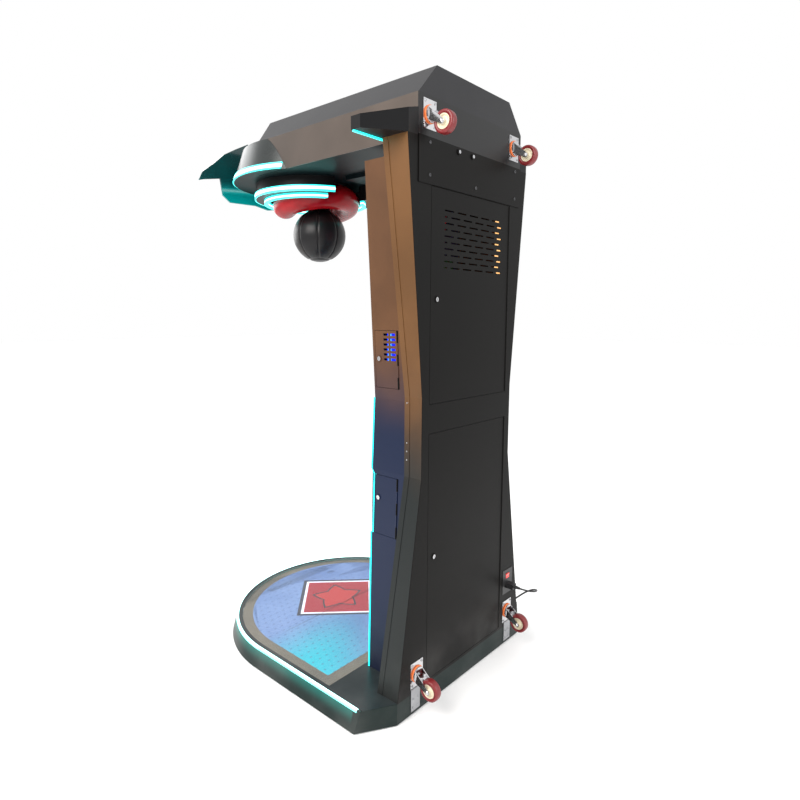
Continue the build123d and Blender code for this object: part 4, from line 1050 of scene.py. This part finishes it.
# %% Lead and coil
INLET_X = -303.0
SOCKET_Z = 262.0
ROUTE = [(INLET_X, -62, SOCKET_Z), (INLET_X, -94, SOCKET_Z), (-334, -118, 256),
         (-376, -104, 243), (-408, -70, 224), (-420, -26, 194), (-422, 20, 150),
         (-424, 60, 114), (-444, 94, 94), (-484, 120, 91), (-528, 140, 91),
         (-556, 158, 66), (-562, 178, 28), (-562, 204, 6), (-554, 252, 4)]
COIL_X = -598.0
COIL_D = 318.0
CORD_D = 0.007
coil_points = []
TURN_STEPS = 16
for step in range(int(4.06 * TURN_STEPS) + 1):
    turns = step / TURN_STEPS
    radius = 49 - 7.1 * turns if turns < 2.15 else 33.7 + 7.1 * (turns - 2.15)
    lift = min(1.0, max(0.0, (turns - 1.98) / 0.25))
    angle = math.tau * turns
    coil_points.append((COIL_X + radius * math.cos(angle), COIL_D + radius * math.sin(angle), 4 + 7.3 * lift))
TAIL = [(COIL_X + 42, COIL_D + 34, 10.5), (COIL_X + 27, COIL_D + 52, 9.5),
        (COIL_X + 9, COIL_D + 61, 9), (COIL_X, COIL_D + 68, 9), (COIL_X, COIL_D + 76, 9)]
control = [(px * MM, back(pd), pz * MM) for px, pd, pz in ROUTE + coil_points + TAIL]
curve = bpy.data.curves.new("mains_lead", "CURVE")
curve.dimensions = "3D"
spline = curve.splines.new("NURBS")
spline.points.add(len(control) - 1)
for point, spot in zip(spline.points, control):
    point.co = (*spot, 1)
spline.order_u = 3
spline.use_endpoint_u = True
spline.resolution_u = 6
curve.bevel_depth = CORD_D / 2
curve.bevel_resolution = 5
curve.use_fill_caps = True
lead = bpy.data.objects.new("mains_lead", curve)
bpy.context.scene.collection.objects.link(lead)
sheath = plastic("cord_sheath", (0.014, 0.014, 0.015), 0.45, 0.00004)
wear(lead, sheath.material, "cord_jacket", "cabinet", "power_cord", "cord_coil")

plug_low = (COIL_X * MM - 0.016, back(COIL_D + 106), 0.0008)
plug_high = (COIL_X * MM + 0.016, back(COIL_D + 76), 0.0255)
wall_plug = rounded_box("mains_plug", plug_low, plug_high, 0.004)
wear(wall_plug, black_plastic.material, "black_plastic", "cabinet", "wall_plug")
tail_profile = [(0.0, 0.0), (0.0075, 0.0), (0.0066, 0.008), (0.0052, 0.016), (0.0036, 0.020), (0.0, 0.020)]
tail = lathe("mains_plug_relief", [(r, -h) for r, h in tail_profile],
             Vector((COIL_X * MM, back(COIL_D + 77), 0.009)), "y", 32)
wear(tail, black_plastic.material, "black_plastic", "cabinet")
for side, name in ((-1, "a"), (1, "b")):
    pin = [(0.0, 0.0), (0.0024, 0.0), (0.0024, 0.017), (0.0016, 0.019), (0.0, 0.0192)]
    pin_at = Vector((COIL_X * MM + side * 0.0095, back(COIL_D + 105.5), 0.013))
    prong = lathe("mains_plug_pin_" + name, pin, pin_at, "y", 24)
    wear(prong, ground_steel, "black_plastic", "cabinet")
print("lead control points:", len(control))

# %% [markdown]
# ## Studio
#
# A pale floor and a pale sky with three large soft lamps. The lamps are weak enough for the
# strips to show their own colour on the floor and on the underside of the hood.

# %% Floor, lamps and sky
floor_builder = bmesh.new()
bmesh.ops.create_grid(floor_builder, x_segments=1, y_segments=1, size=30)
floor_builder.transform(Matrix.Translation((0, 0, -0.0006)))
ground_plane = new_object("studio_floor", floor_builder, smooth=False)
pale = Finish("studio_floor", Roughness=0.9, Emission_Strength=0.10)
white = pale.blend(pale.noise(0.8, 2), (0.90, 0.90, 0.90), (0.93, 0.93, 0.93))
pale.feed("Base Color", white)
pale.feed("Emission Color", white)
ground_plane.data.materials.append(pale.material)


def softbox(name, spot, aim, size, power, colour=(1, 1, 1)):
    data = bpy.data.lights.new(name, "AREA")
    data.size = size
    data.energy = power
    data.color = colour
    lamp = bpy.data.objects.new(name, data)
    lamp.location = spot
    lamp.rotation_euler = (Vector(aim) - Vector(spot)).to_track_quat("-Z", "Y").to_euler()
    bpy.context.scene.collection.objects.link(lamp)


softbox("key", (3.2, 0.2, 3.4), (0, 0, 1.2), 2.4, 150, (1.0, 0.96, 0.92))
softbox("back_fill", (-1.2, 4.4, 2.4), (0, 0.3, 1.2), 2.6, 70)
softbox("front_fill", (0.5, -4.2, 2.8), (0, 0, 1.0), 3.0, 90)
world = bpy.data.worlds.new("studio")
bpy.context.scene.world = world
world.use_nodes = True
world.node_tree.nodes["Background"].inputs[0].default_value = (1, 1, 1, 1)
world.node_tree.nodes["Background"].inputs[1].default_value = 1.0
bpy.context.scene.view_settings.view_transform = "Standard"
